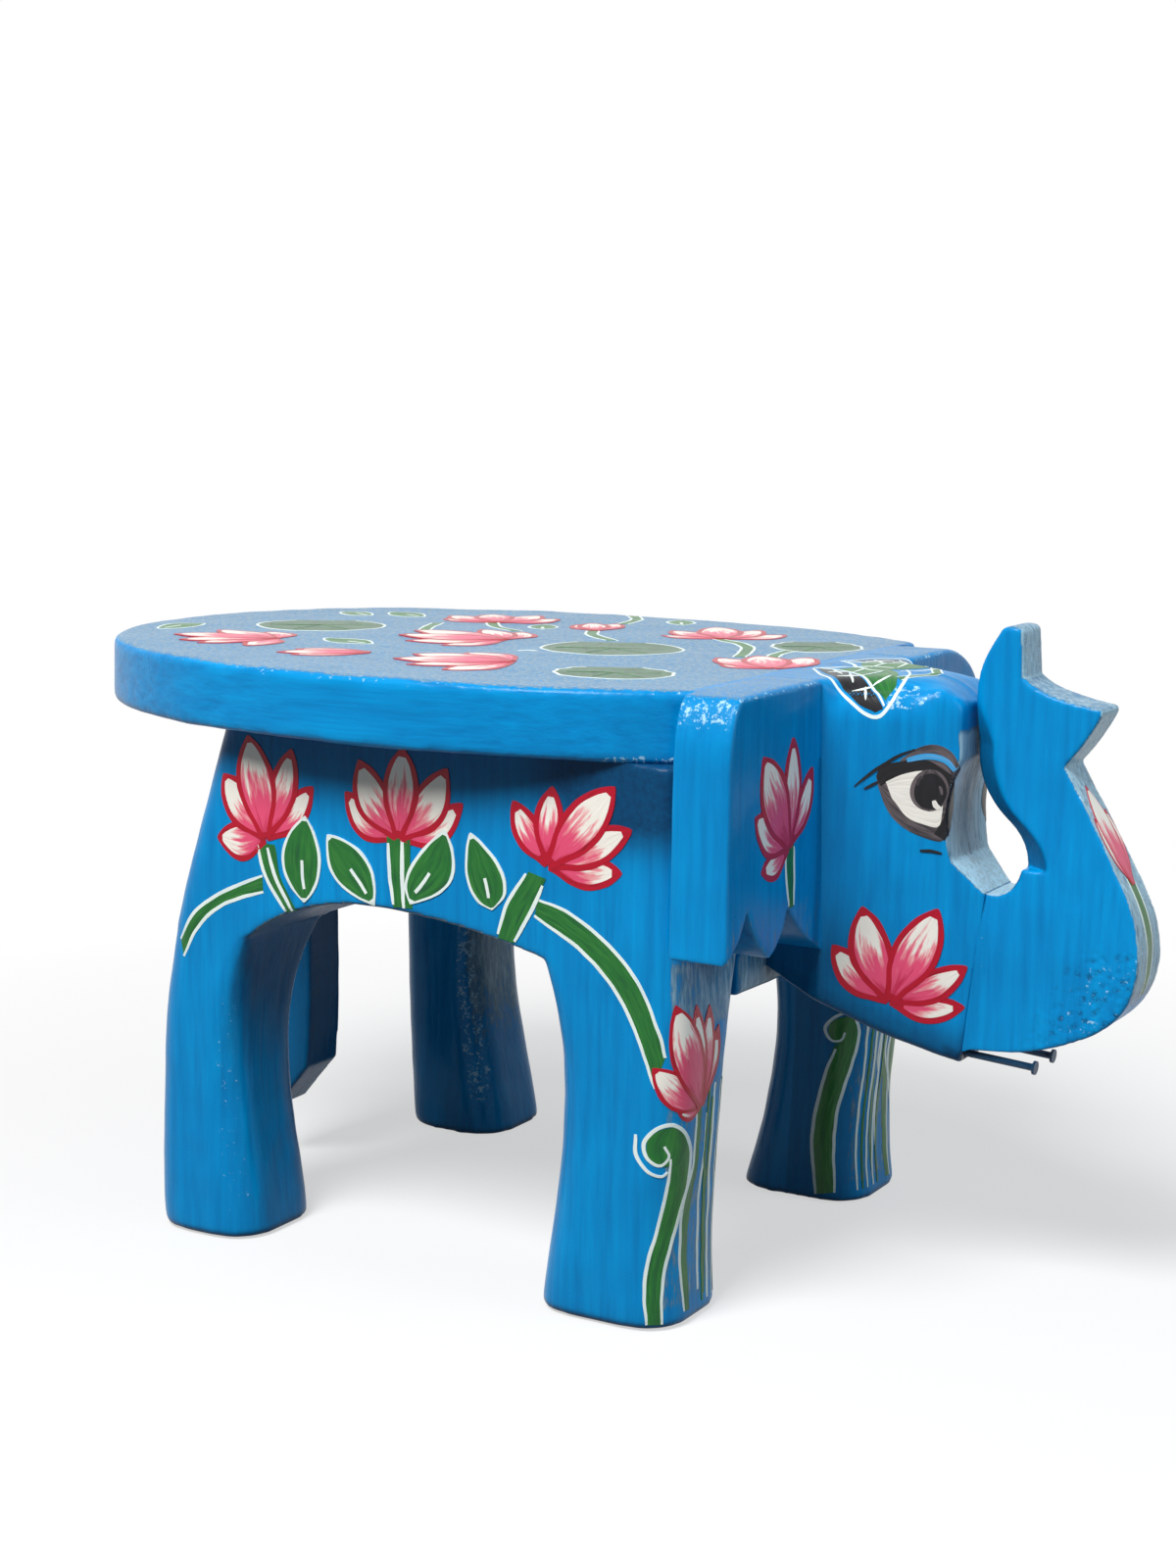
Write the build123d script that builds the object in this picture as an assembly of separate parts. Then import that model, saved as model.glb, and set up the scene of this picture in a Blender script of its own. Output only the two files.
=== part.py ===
from build123d import *
import math
import os

os.makedirs("parts", exist_ok=True)

# Carved elephant stool, glued and pegged from sawn wood.
# Body frame while modelling, in mm: X runs from tail (-) to trunk (+), with 0 midway between
# the front and rear feet; Y runs from the right flank (-) to the left flank (+); Z is up from
# the ground. The finished pieces are moved along X so that the origin ends up under the middle
# of the overall length.

# ---- Driving dimensions ------------------------------------------------------------------

# Seat: an oval plank whose front is cut straight across behind the ears
SEAT_HEIGHT = 180.0         # ground to the sitting face
SEAT_T = 20.0
SEAT_REAR = 144.0           # reach of the seat behind the body frame's zero
SEAT_HALF_LENGTH = 139.0    # of the whole oval
SEAT_HALF_WIDTH = 101.5
SEAT_SQUARENESS = 2.2       # superellipse exponent; 2 is an ellipse
SEAT_EDGE_R = 1.6

# Body: a core block between two flank planks that carry the legs
SEAT_OVERHANG = 16.5        # of the seat's sides over the body
FLANK_T = 40.0
BODY_FRONT = 92.5           # front face, behind the ears
RUMP_TOP_X = -62.5          # rear edge under the seat
RUMP_MID_X = -74.2          # rear edge halfway down the rump
RUMP_MID_Z = 125.0
RUMP_EDGE_R = 9.0           # rounded rear edge, down to the hip
SHOULDER_EDGE_R = 6.0       # rounded front edge, down to the hip
CHEST_Z = 88.5              # underside of the core between the front legs
CHEST_CHAMFER = 1.5

# Belly arch, cut through both flanks and the core
ARCH_FRONT_Z = 102.6
ARCH_TOP_X = 8.0
ARCH_TOP_Z = 110.3
ARCH_REAR_X = -40.0
ARCH_REAR_Z = 103.6

# Legs: rounded-square sections at the foot, the ankle, the waist and the hip
FRONT_FOOT_X = 68.8
FRONT_FOOT_LENGTH = 45.4
FRONT_ANKLE_X = 70.5
FRONT_ANKLE_LENGTH = 41.0
FRONT_WAIST_X = 73.1
FRONT_WAIST_LENGTH = 38.8
FRONT_LEFT_SLIM = 4.0       # the left front leg's ankle and waist are this much slimmer
FRONT_HIP_LENGTH = 42.5
REAR_FOOT_X = -68.4
REAR_FOOT_LENGTH = 38.6
REAR_ANKLE_X = -71.0
REAR_ANKLE_LENGTH = 35.6
REAR_WAIST_X = -73.4
REAR_WAIST_LENGTH = 31.6
REAR_HIP_X = -67.4
REAR_HIP_LENGTH = 31.0
REAR_FOOT_SKEW = 3.4        # right rear foot stands this far back, the left one forward
REAR_WAIST_SKEW = 0.5
ANKLE_Z = 22.0
WAIST_Z = 52.0
HIP_Z = 96.0
FOOT_WIDTH = 40.0
ANKLE_WIDTH = 38.0
WAIST_WIDTH = 36.0
FOOT_EDGE_R = 13.0
ANKLE_EDGE_R = 12.0
WAIST_EDGE_R = 11.0
HIP_EDGE_R = 3.0            # where the leg runs into the flank
HIP_END_R = 10.0            # at the rear, a little rounder than the rump's edge above it

# Ears: boards across the front of the body, with a pointed scalloped lower edge
EAR_T = 17.5
EAR_PROUD = 4.0             # the ears stand out this much from the flanks
EAR_CORNER_Z = 108.5        # lower outer corner
EAR_VALLEYS = ((12.5, 121.5), (38.4, 118.0))    # (inset from the outer end, z) of the notches
EAR_TIP = (27.2, 105.5)     # (inset, z) of the free point between them
EAR_ROOT_Z = 102.0          # the innermost point, against the head
EAR_LOBE_BULGE = 1.2
EAR_CORNER_DROP = 20.0      # height of the rounded top outer corner
EAR_CORNER_RIGHT = 8.0      # inset of the right ear's corner
EAR_CORNER_LEFT = 30.0      # inset of the left ear's corner, cut back further
EAR_EDGE_R = 1.5

# Head: two tapering halves glued on the centre line
CROWN_HALF_WIDTH = 33.0     # at the ears, on top
JAW_HALF_WIDTH = 28.0       # and at the jaw
FOREHEAD_X = 132.0          # where the flat top starts to fall
FOREHEAD_DROP = 7.0
FOREHEAD_BULGE = 1.5
FACE_X = 145.0              # front face at the brow
FACE_HOLLOW = 3.2           # the face is cut back this much behind the loop
FACE_HOLLOW_SHARE = 0.31    # height of the hollow, from the ledge to the loop's upper end
LEDGE_BACK_X = 143.3        # ledge below the loop, sloping down to the trunk
LEDGE_BACK_Z = 129.0
JAW_BACK_Z = 95.0           # underside of the jaw at the body
CHIN_X = 146.6
CHIN_Z = 69.0
JAW_SAG = 2.0               # the underside of the jaw is slightly full
JAW_EDGE_R = 3.0
CROWN_EDGE_R = 2.5

# Trunk: a board cut to the raised trunk, with the teardrop loop behind it
TRUNK_T = 21.0              # at the throat
TRUNK_TIP_T = 15.5
TRUNK_TAPER_Z = (100.0, 152.0)    # the trunk thins between these heights
KERF = 1.0                  # saw kerf between the brow and the trunk
TRUNK_REACH = 197.2
TRUNK_REACH_Z = 106.0
TRUNK_RISE = 15.5           # of the tip above the seat
TRUNK_TIP_X = 159.0         # front edge of the raised tip
TRUNK_TIP_LENGTH = 6.0
TRUNK_TIP_ROUND = 0.8       # the corners of the tip's top are this much lower
KERF_RISE = 3.0             # the trunk leaves the kerf this far above the brow
TIP_LEAN = 0.6              # forward lean of the tip's back edge, per unit of height
LIP_ROOT_X = 159.8
LIP_ROOT_RISE = 1.3         # corner between the raised tip and the lip, above the seat
LIP_ROOT_FALL = 0.9         # slope of the lip's top at the tip and at its end
LIP_END_FALL = 0.15
TRUNK_CORNER_R = 1.4        # of the tip's and the lip's corners
LIP_X = 183.8
LIP_DROP = 6.0              # of the lip's end below the seat
NOTCH_X = 172.9             # hollow under the lip
NOTCH_DROP = 22.5           # and of the hollow
NOTCH_SAG = 0.8             # hollow of the edge under the lip
NOTCH_LEAN = 0.6            # forward lean of the trunk as it leaves the hollow
TRUNK_NECK_X = 190.6        # front edge between the hollow and the furthest reach
TRUNK_NECK_Z = 127.0
TRUNK_CHIN_X = 178.2        # lower curve between the furthest reach and the throat
TRUNK_CHIN_Z = 79.7
THROAT_X = 147.2            # lower end of the joint with the head
THROAT_Z = 73.4
LOOP_FLOOR_X = 152.0        # upper end of the joint, on the floor of the loop
LOOP_FLOOR_Z = 119.6
LOOP_FRONT_X = 161.9
LOOP_FRONT_Z = 127.3
LOOP_SAG = 2.7              # hollow of the loop's floor
LOOP_NECK_X = 152.8         # where the teardrop narrows
LOOP_NECK_SHARE = 0.5       # its height, from the widest place to the upper end
LOOP_TOP_DROP = 15.0        # of the loop's upper end below the brow
LOOP_BEVEL_WIDTH = 6.0      # the trunk's edges are cut back along the loop and the kerf
LOOP_BEVEL_DEPTH = 4.5
LOOP_BEVEL_RUN = 4.0        # full width from this far above the loop's upper end

# Tail: a hanging slab on the centre line behind the rump
TAIL_WIDTH = 18.0
TAIL_DEPTH = 17.0
TAIL_BEND_Z = 62.0
TAIL_FREE_X = -84.5
TAIL_HEEL_X = -86.0
TAIL_HEEL_Z = 33.0
TAIL_FREE_LEAN = 0.1        # backward lean of the hanging part, per unit of height
TAIL_END_Z = 17.5
TAIL_SLANT = 4.2            # rise of the cut-off end

# Tusks: wire nails driven up into the throat and bent forward
NAIL_D = 2.1
NAIL_HEAD_D = 4.0
NAIL_HEAD_T = 0.8
NAIL_SUNK = 14.0            # length inside the wood
NAIL_SLOPE = 35.0           # degrees, of the sunk end
NAIL_REACH = 20.6           # from the throat to the nail's head
NAIL_DROOP = 1.4            # how far the free end hangs below the throat
NAIL_BEND_R = 3.5
NAIL_Y = 7.5
NAIL_Z = 72.0
NAIL_GAP = 0.05

# Pegs: round dowels in blind holes, half their length in each piece
PEG_GAP = 0.05              # clearance all round a peg, taken up by glue
SEAT_PEG_D = 9.0
SEAT_PEG_LENGTH = 28.0
SEAT_PEG_PLACES_X = (-38.0, 14.0, 66.0)
FLANK_PEG_D = 9.0
FLANK_PEG_LENGTH = 40.0
FLANK_PEG_PLACES_X = (-52.0, -12.0, 76.0)     # clear of the seat pegs
FLANK_PEG_Z = 129.0
EAR_PEG_D = 6.0
EAR_PEG_LENGTH = 22.0
EAR_PEG_PLACES = ((38.0, 10.0), (64.0, 24.0))   # (y, depth below the seat board)
HEAD_PEG_D = 9.0
HEAD_PEG_LENGTH = 44.0
HEAD_PEG_Y = 13.0
HEAD_PEG_DROP = 10.0        # of the upper pegs below the seat board
HEAD_PEG_RISE = 19.0        # of the lower pegs above the jaw
TRUNK_PEG_D = 5.0
TRUNK_PEG_LENGTH = 24.0
TRUNK_PEG_Y = 5.0
TRUNK_PEG_HEIGHTS = (87.0, 106.0)
TAIL_PEG_D = 6.0
TAIL_PEG_LENGTH = 20.0
TAIL_PEG_SHARES = (0.3, 0.7)    # down the rump edge, from the seat to the hip

# ---- Sizes that follow ---------------------------------------------------------------------

SEAT_UNDER_Z = SEAT_HEIGHT - SEAT_T
BODY_HALF_WIDTH = SEAT_HALF_WIDTH - SEAT_OVERHANG
CORE_HALF_WIDTH = BODY_HALF_WIDTH - FLANK_T
EAR_HALF_SPAN = BODY_HALF_WIDTH + EAR_PROUD
FRONT_HIP_X = BODY_FRONT - FRONT_HIP_LENGTH / 2
EAR_FRONT = BODY_FRONT + EAR_T
BROW_Z = SEAT_HEIGHT - FOREHEAD_DROP
LOOP_TOP_Z = BROW_Z - LOOP_TOP_DROP
LOOP_NECK_Z = LOOP_FRONT_Z + LOOP_NECK_SHARE * (LOOP_TOP_Z - LOOP_FRONT_Z)
KERF_END_Z = BROW_Z + KERF_RISE
FACE_HOLLOW_Z = LEDGE_BACK_Z + FACE_HOLLOW_SHARE * (LOOP_TOP_Z - LEDGE_BACK_Z)
TRUNK_TOP_Z = SEAT_HEIGHT + TRUNK_RISE
LIP_ROOT_Z = SEAT_HEIGHT + LIP_ROOT_RISE
LIP_Z = SEAT_HEIGHT - LIP_DROP
NOTCH_Z = SEAT_HEIGHT - NOTCH_DROP
HEAD_PEG_HEIGHTS = (JAW_BACK_Z + HEAD_PEG_RISE, SEAT_UNDER_Z - HEAD_PEG_DROP)
RUMP_HIP_X = REAR_HIP_X - REAR_HIP_LENGTH / 2
CENTRE_X = (TRUNK_REACH - SEAT_REAR) / 2

NEAR = 0.5                  # an edge this close to a face counts as lying on it

RIGHT, LEFT = -1, 1         # sides, along Y
REAR, FRONT = -1, 1         # ends, along X


# ---- Helpers -------------------------------------------------------------------------------

def side_face(*edges):
    """A face in the XZ plane from edges drawn as (x, z)."""
    return Plane.XZ * make_face(Wire(list(edges)))


def across(face, y_low, y_high):
    """The face in the XZ plane, extruded from y_low to y_high."""
    return Pos(0, y_high, 0) * extrude(face, amount=y_high - y_low, dir=(0, -1, 0))


def peg(diameter, length, centre, axis):
    """A round peg with its middle at centre."""
    turn = {"X": Rot(0, 90, 0), "Y": Rot(90, 0, 0), "Z": Rot(0, 0, 0)}[axis]
    return Pos(*centre) * turn * Cylinder(diameter / 2, length)


def peg_hole(diameter, length, centre, axis):
    """The blind hole that takes a peg, with room for glue."""
    return peg(diameter + 2 * PEG_GAP, length + 2 * PEG_GAP, centre, axis)


def edges_on(part, pick):
    """The part's edges whose middle point satisfies pick(x, y, z)."""
    found = ShapeList()
    for edge in part.edges():
        middle = edge.position_at(0.5)
        if pick(middle.X, middle.Y, middle.Z):
            found.append(edge)
    return found


# ---- Outlines in the side view ---------------------------------------------------------------

def rump_edge():
    """The rear edge of the body, from the seat down to the hip."""
    return ThreePointArc((RUMP_TOP_X, SEAT_UNDER_Z), (RUMP_MID_X, RUMP_MID_Z), (RUMP_HIP_X, HIP_Z))


def arch_edge():
    """The belly arch, from the rear hip forward to the front leg."""
    return Spline(
        (REAR_HIP_X + REAR_HIP_LENGTH / 2, HIP_Z),
        (ARCH_REAR_X, ARCH_REAR_Z),
        (ARCH_TOP_X, ARCH_TOP_Z),
        (BODY_FRONT - FRONT_HIP_LENGTH, ARCH_FRONT_Z),
    )


# ---- Seat and body ---------------------------------------------------------------------------

def seat_board():
    """The oval plank, cut straight where the ears and the head meet it."""
    count = 40
    rim = []
    for step in range(count):
        angle = 2 * math.pi * step / count
        along, over = math.cos(angle), math.sin(angle)
        rim.append((
            SEAT_HALF_LENGTH * math.copysign(abs(along) ** (2 / SEAT_SQUARENESS), along),
            SEAT_HALF_WIDTH * math.copysign(abs(over) ** (2 / SEAT_SQUARENESS), over),
        ))
    oval = make_face(Spline(*rim, periodic=True))
    board = Pos(SEAT_HALF_LENGTH - SEAT_REAR, 0, SEAT_UNDER_Z) * extrude(oval, amount=SEAT_T)
    board = split(board, Plane.YZ.offset(BODY_FRONT), keep=Keep.BOTTOM)
    rims = edges_on(board, lambda x, y, z: x < BODY_FRONT - NEAR)
    return fillet(rims, SEAT_EDGE_R)


def leg_section(length, width, edge_r, end_corner, end_r):
    """A rounded rectangle; end_corner gives the signs of the corner that takes the radius end_r."""
    section = Rectangle(length, width)
    for radius, at_end in ((edge_r, False), (end_r, True)):
        corners = section.vertices().filter_by(
            lambda v: (v.X * end_corner[0] > 0 and v.Y * end_corner[1] > 0) == at_end
            and abs(abs(v.X) - length / 2) + abs(abs(v.Y) - width / 2) < NEAR)
        section = fillet(corners, radius)
    return section


def leg(side, end, stations):
    """One leg: a loft through rounded sections given as (x, z, length, width, edge_r, end_r)."""
    sections = []
    for x, z, length, width, edge_r, end_r in stations:
        y = side * (BODY_HALF_WIDTH - width / 2)
        sections.append(Pos(x, y, z) * leg_section(length, width, edge_r, (end, side), end_r))
    return loft(sections)


def front_leg(side):
    slim = FRONT_LEFT_SLIM if side == LEFT else 0
    ankle_length, waist_length = FRONT_ANKLE_LENGTH - slim, FRONT_WAIST_LENGTH - slim
    return leg(side, FRONT, [
        (FRONT_FOOT_X, 0, FRONT_FOOT_LENGTH, FOOT_WIDTH, FOOT_EDGE_R, FOOT_EDGE_R),
        (FRONT_ANKLE_X, ANKLE_Z, ankle_length, ANKLE_WIDTH, ANKLE_EDGE_R, ANKLE_EDGE_R),
        (FRONT_WAIST_X, WAIST_Z, waist_length, WAIST_WIDTH, WAIST_EDGE_R, WAIST_EDGE_R),
        (FRONT_HIP_X, ARCH_FRONT_Z, FRONT_HIP_LENGTH, FLANK_T, HIP_EDGE_R, SHOULDER_EDGE_R),
    ])


def rear_leg(side):
    foot_x = REAR_FOOT_X + side * REAR_FOOT_SKEW
    ankle_skew = REAR_FOOT_SKEW + (REAR_WAIST_SKEW - REAR_FOOT_SKEW) * ANKLE_Z / WAIST_Z
    ankle_x = REAR_ANKLE_X + side * ankle_skew
    waist_x = REAR_WAIST_X + side * REAR_WAIST_SKEW
    return leg(side, REAR, [
        (foot_x, 0, REAR_FOOT_LENGTH, FOOT_WIDTH, FOOT_EDGE_R, FOOT_EDGE_R),
        (ankle_x, ANKLE_Z, REAR_ANKLE_LENGTH, ANKLE_WIDTH, ANKLE_EDGE_R, ANKLE_EDGE_R),
        (waist_x, WAIST_Z, REAR_WAIST_LENGTH, WAIST_WIDTH, WAIST_EDGE_R, WAIST_EDGE_R),
        (REAR_HIP_X, HIP_Z, REAR_HIP_LENGTH, FLANK_T, HIP_EDGE_R, HIP_END_R),
    ])


def flank(side):
    """A flank plank: the slab above the belly arch, carved into one front and one rear leg."""
    rump, arch = rump_edge(), arch_edge()
    face = side_face(
        rump,
        Line(rump @ 1, arch @ 0),
        arch,
        Line(arch @ 1, (BODY_FRONT, ARCH_FRONT_Z)),
        Line((BODY_FRONT, ARCH_FRONT_Z), (BODY_FRONT, SEAT_UNDER_Z)),
        Line((BODY_FRONT, SEAT_UNDER_Z), rump @ 0),
    )
    inner, outer = sorted((side * CORE_HALF_WIDTH, side * BODY_HALF_WIDTH))
    slab = across(face, inner, outer)
    skin = BODY_HALF_WIDTH - NEAR
    rump_rim = edges_on(slab, lambda x, y, z: side * y > skin and x < RUMP_TOP_X and z > HIP_Z + NEAR)
    slab = fillet(rump_rim, RUMP_EDGE_R)
    shoulder_rim = edges_on(slab, lambda x, y, z: side * y > skin and x > BODY_FRONT - NEAR)
    slab = fillet(shoulder_rim, SHOULDER_EDGE_R)
    return slab + front_leg(side) + rear_leg(side)


def body_core():
    """The block between the flanks, with a deeper chest between the front legs."""
    rump, arch = rump_edge(), arch_edge()
    leg_back = BODY_FRONT - FRONT_HIP_LENGTH
    chest_back = leg_back + (ARCH_FRONT_Z - CHEST_Z)
    face = side_face(
        rump,
        Line(rump @ 1, arch @ 0),
        arch,
        Line((leg_back, ARCH_FRONT_Z), (chest_back, CHEST_Z)),
        Line((chest_back, CHEST_Z), (BODY_FRONT - CHEST_CHAMFER, CHEST_Z)),
        Line((BODY_FRONT - CHEST_CHAMFER, CHEST_Z), (BODY_FRONT, CHEST_Z + CHEST_CHAMFER)),
        Line((BODY_FRONT, CHEST_Z + CHEST_CHAMFER), (BODY_FRONT, SEAT_UNDER_Z)),
        Line((BODY_FRONT, SEAT_UNDER_Z), rump @ 0),
    )
    return across(face, -CORE_HALF_WIDTH, CORE_HALF_WIDTH)


# ---- Ears, head and trunk --------------------------------------------------------------------

def head_half_width(z):
    """Half width of the head where it leaves the ears: wider at the crown than at the jaw."""
    share = (z - JAW_BACK_Z) / (SEAT_HEIGHT - JAW_BACK_Z)
    return JAW_HALF_WIDTH + (CROWN_HALF_WIDTH - JAW_HALF_WIDTH) * share


def ear(side, corner_inset):
    """An ear board with pointed lobes along its lower edge, seen in the YZ plane."""
    corner = (EAR_HALF_SPAN, EAR_CORNER_Z)
    root = (head_half_width(EAR_ROOT_Z), EAR_ROOT_Z)
    outer_valley, free_tip, inner_valley = (
        (EAR_HALF_SPAN - inset, z) for inset, z in (EAR_VALLEYS[0], EAR_TIP, EAR_VALLEYS[1]))
    scallops = []
    for tip, valley, bulge in ((corner, outer_valley, -1), (free_tip, outer_valley, 1),
                               (free_tip, inner_valley, -1), (root, inner_valley, 1)):
        scallops.append(ThreePointArc(
            tip, ((tip[0] + valley[0]) / 2 + bulge * EAR_LOBE_BULGE,
                  (tip[1] + valley[1]) / 2 - EAR_LOBE_BULGE), valley))
    crown = (head_half_width(SEAT_HEIGHT), SEAT_HEIGHT)
    round_off = EllipticalCenterArc(
        (EAR_HALF_SPAN - corner_inset, SEAT_HEIGHT - EAR_CORNER_DROP),
        corner_inset, EAR_CORNER_DROP, start_angle=0, arc_size=90,
    )
    face = make_face(Wire([
        *scallops,
        Line(root, crown),
        Line(crown, round_off @ 1),
        round_off,
        Line(round_off @ 0, corner),
    ]))
    board = Plane.YZ.offset(BODY_FRONT) * extrude(face, amount=EAR_T)
    highest_valley = max(z for _, z in EAR_VALLEYS)
    front_rim = edges_on(board, lambda x, y, z: x > EAR_FRONT - NEAR and y > CROWN_HALF_WIDTH + NEAR
                         and z > highest_valley)
    board = fillet(front_rim, EAR_EDGE_R)
    return board if side == LEFT else mirror(board, Plane.XZ)


def head_half(side):
    """Half of the head: its side profile, tapered in plan towards the trunk."""
    profile = side_face(
        Line((BODY_FRONT, SEAT_HEIGHT), (FOREHEAD_X, SEAT_HEIGHT)),
        SagittaArc((FOREHEAD_X, SEAT_HEIGHT), (FACE_X, BROW_Z), FOREHEAD_BULGE),
        Line((FACE_X, BROW_Z), (FACE_X, LOOP_TOP_Z)),
        ThreePointArc((FACE_X, LOOP_TOP_Z), (FACE_X - FACE_HOLLOW, FACE_HOLLOW_Z),
                      (LEDGE_BACK_X, LEDGE_BACK_Z)),
        Line((LEDGE_BACK_X, LEDGE_BACK_Z), (LOOP_FLOOR_X, LOOP_FLOOR_Z)),
        Line((LOOP_FLOOR_X, LOOP_FLOOR_Z), (THROAT_X, THROAT_Z)),
        Line((THROAT_X, THROAT_Z), (CHIN_X, CHIN_Z)),
        SagittaArc((CHIN_X, CHIN_Z), (BODY_FRONT, JAW_BACK_Z), JAW_SAG),
        Line((BODY_FRONT, JAW_BACK_Z), (BODY_FRONT, SEAT_HEIGHT)),
    )
    block = across(profile, 0, CROWN_HALF_WIDTH)
    plans = []
    for z in (JAW_BACK_Z - CROWN_HALF_WIDTH, SEAT_HEIGHT + CROWN_HALF_WIDTH):
        half = head_half_width(z)
        plans.append(Pos(0, 0, z) * make_face(Polyline(
            (BODY_FRONT, 0), (LOOP_FLOOR_X, 0), (LOOP_FLOOR_X, TRUNK_T / 2),
            (EAR_FRONT, half), (BODY_FRONT, half), close=True,
        )))
    block = block & loft(plans)
    jaw = edges_on(block, lambda x, y, z: y > TRUNK_T / 2 and EAR_FRONT < x < CHIN_X - NEAR
                   and z < JAW_BACK_Z)
    block = fillet(jaw, JAW_EDGE_R)
    crown = edges_on(block, lambda x, y, z: y > TRUNK_T / 2 + NEAR and EAR_FRONT < x < FACE_X - NEAR
                     and z > BROW_Z)
    block = fillet(crown, CROWN_EDGE_R)
    return block if side == LEFT else mirror(block, Plane.XZ)


def loop_edge(upper_end):
    """The trunk's edge along the loop, from the widest place up to the given point."""
    return Spline((LOOP_FRONT_X, LOOP_FRONT_Z), (LOOP_NECK_X, LOOP_NECK_Z), upper_end,
                  tangents=((0, 1), (0, 1)))


def loop_bevel():
    """The wood taken off the right edge of the trunk, along the loop and the kerf."""
    edge = loop_edge((FACE_X + KERF, LOOP_TOP_Z + LOOP_BEVEL_RUN))
    run_out = (FACE_X + KERF - LOOP_BEVEL_WIDTH, KERF_END_Z)
    behind = FACE_X - FACE_HOLLOW - LOOP_BEVEL_WIDTH
    face = side_face(
        edge,
        Line(edge @ 1, run_out),
        Line(run_out, (behind, KERF_END_Z)),
        Line((behind, KERF_END_Z), (behind, LOOP_FRONT_Z)),
        Line((behind, LOOP_FRONT_Z), edge @ 0),
    )
    slant = Vector(LOOP_BEVEL_WIDTH, -LOOP_BEVEL_DEPTH, 0)
    inner_end = Vector(0, LOOP_BEVEL_DEPTH - TRUNK_TIP_T / 2, 0) - slant
    return Pos(*inner_end) * extrude(face, amount=3 * slant.length, dir=slant.normalized())


def trunk_board():
    """The trunk: from the throat under the loop, up past the brow to the tip and its lip."""
    up, down, backward = (0, 1), (0, -1), (-1, 0)
    kerf_x = FACE_X + KERF
    kerf_low = (kerf_x, LOOP_TOP_Z)
    kerf_high = (kerf_x, KERF_END_Z)
    tip_z = TRUNK_TOP_Z - TRUNK_TIP_ROUND
    tip_back = (TRUNK_TIP_X - TRUNK_TIP_LENGTH, tip_z)
    tip_front = (TRUNK_TIP_X, tip_z)
    floor, loop_front = (LOOP_FLOOR_X, LOOP_FLOOR_Z), (LOOP_FRONT_X, LOOP_FRONT_Z)
    lip_root, lip = (LIP_ROOT_X, LIP_ROOT_Z), (LIP_X, LIP_Z)
    notch, reach = (NOTCH_X, NOTCH_Z), (TRUNK_REACH, TRUNK_REACH_Z)
    throat = (THROAT_X, THROAT_Z)
    outline = side_face(
        SagittaArc(floor, loop_front, -LOOP_SAG),
        loop_edge(kerf_low),
        Line(kerf_low, kerf_high),
        Spline(kerf_high, tip_back, tangents=(up, (TIP_LEAN, 1))),
        ThreePointArc(tip_back, (TRUNK_TIP_X - TRUNK_TIP_LENGTH / 2, TRUNK_TOP_Z), tip_front),
        Line(tip_front, lip_root),
        Spline(lip_root, lip, tangents=((1, -LIP_ROOT_FALL), (1, -LIP_END_FALL))),
        SagittaArc(lip, notch, NOTCH_SAG),
        Spline(notch, (TRUNK_NECK_X, TRUNK_NECK_Z), reach, tangents=((NOTCH_LEAN, -1), down)),
        Spline(reach, (TRUNK_CHIN_X, TRUNK_CHIN_Z), throat, tangents=(down, backward)),
        Line(throat, floor),
    )
    outer_corners = [tip_back, tip_front, lip]
    outline = fillet(outline.vertices().filter_by(
        lambda v: min(math.hypot(v.X - x, v.Z - z) for x, z in outer_corners) < NEAR), TRUNK_CORNER_R)
    low, high = TRUNK_TAPER_Z
    side = Spline((TRUNK_T / 2, low), (TRUNK_TIP_T / 2, high), tangents=(up, up))
    upper = Line(side @ 1, (TRUNK_TIP_T / 2, TRUNK_TOP_Z + TRUNK_T))
    lower = Line((TRUNK_T / 2, THROAT_Z - TRUNK_T), side @ 0)
    centre_line = Line((0, THROAT_Z - TRUNK_T), (0, TRUNK_TOP_Z + TRUNK_T))
    half = make_face(Wire([
        centre_line, Line(centre_line @ 0, lower @ 0), lower, side, upper, Line(upper @ 1, centre_line @ 1),
    ]))
    front_view = half + mirror(half, Plane.YZ)
    thickness = Plane.YZ.offset(FOREHEAD_X) * extrude(front_view, amount=TRUNK_REACH - FOREHEAD_X + TRUNK_T)
    board = across(outline, -TRUNK_T / 2, TRUNK_T / 2) & thickness
    return board - loop_bevel() - mirror(loop_bevel(), Plane.XZ)


def tail_board():
    """The tail: a slab that follows the rump, then hangs free to a slanted end."""
    rump = rump_edge()
    free = Spline(rump @ 1, (TAIL_FREE_X, TAIL_BEND_Z), (TAIL_HEEL_X, TAIL_HEEL_Z),
                  tangents=(rump % 1, (-TAIL_FREE_LEAN, -1)))
    end_back = TAIL_HEEL_X - TAIL_DEPTH
    slant = Line(free @ 1, (end_back + TAIL_SLANT, TAIL_END_Z))
    under = Line(slant @ 1, (end_back, TAIL_END_Z + TAIL_SLANT))
    back = Spline(under @ 1, (RUMP_HIP_X - TAIL_DEPTH, HIP_Z), (RUMP_TOP_X - TAIL_DEPTH, SEAT_UNDER_Z),
                  tangents=((-TAIL_FREE_LEAN, 1), -1 * (rump % 0)))
    top = Line(back @ 1, rump @ 0)
    return across(side_face(rump, free, slant, under, back, top), -TAIL_WIDTH / 2, TAIL_WIDTH / 2)


# ---- Fasteners -------------------------------------------------------------------------------

def nail_path(side):
    """The centre line of a tusk nail, from its sunk end to its head."""
    throat = Vector(THROAT_X, side * NAIL_Y, NAIL_Z)
    slope = math.radians(NAIL_SLOPE)
    sunk_end = throat + Vector(-math.cos(slope), 0, math.sin(slope)) * NAIL_SUNK
    free_end = throat + Vector(NAIL_REACH, 0, -NAIL_DROOP)
    return FilletPolyline(sunk_end, throat, free_end, radius=NAIL_BEND_R)


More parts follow.
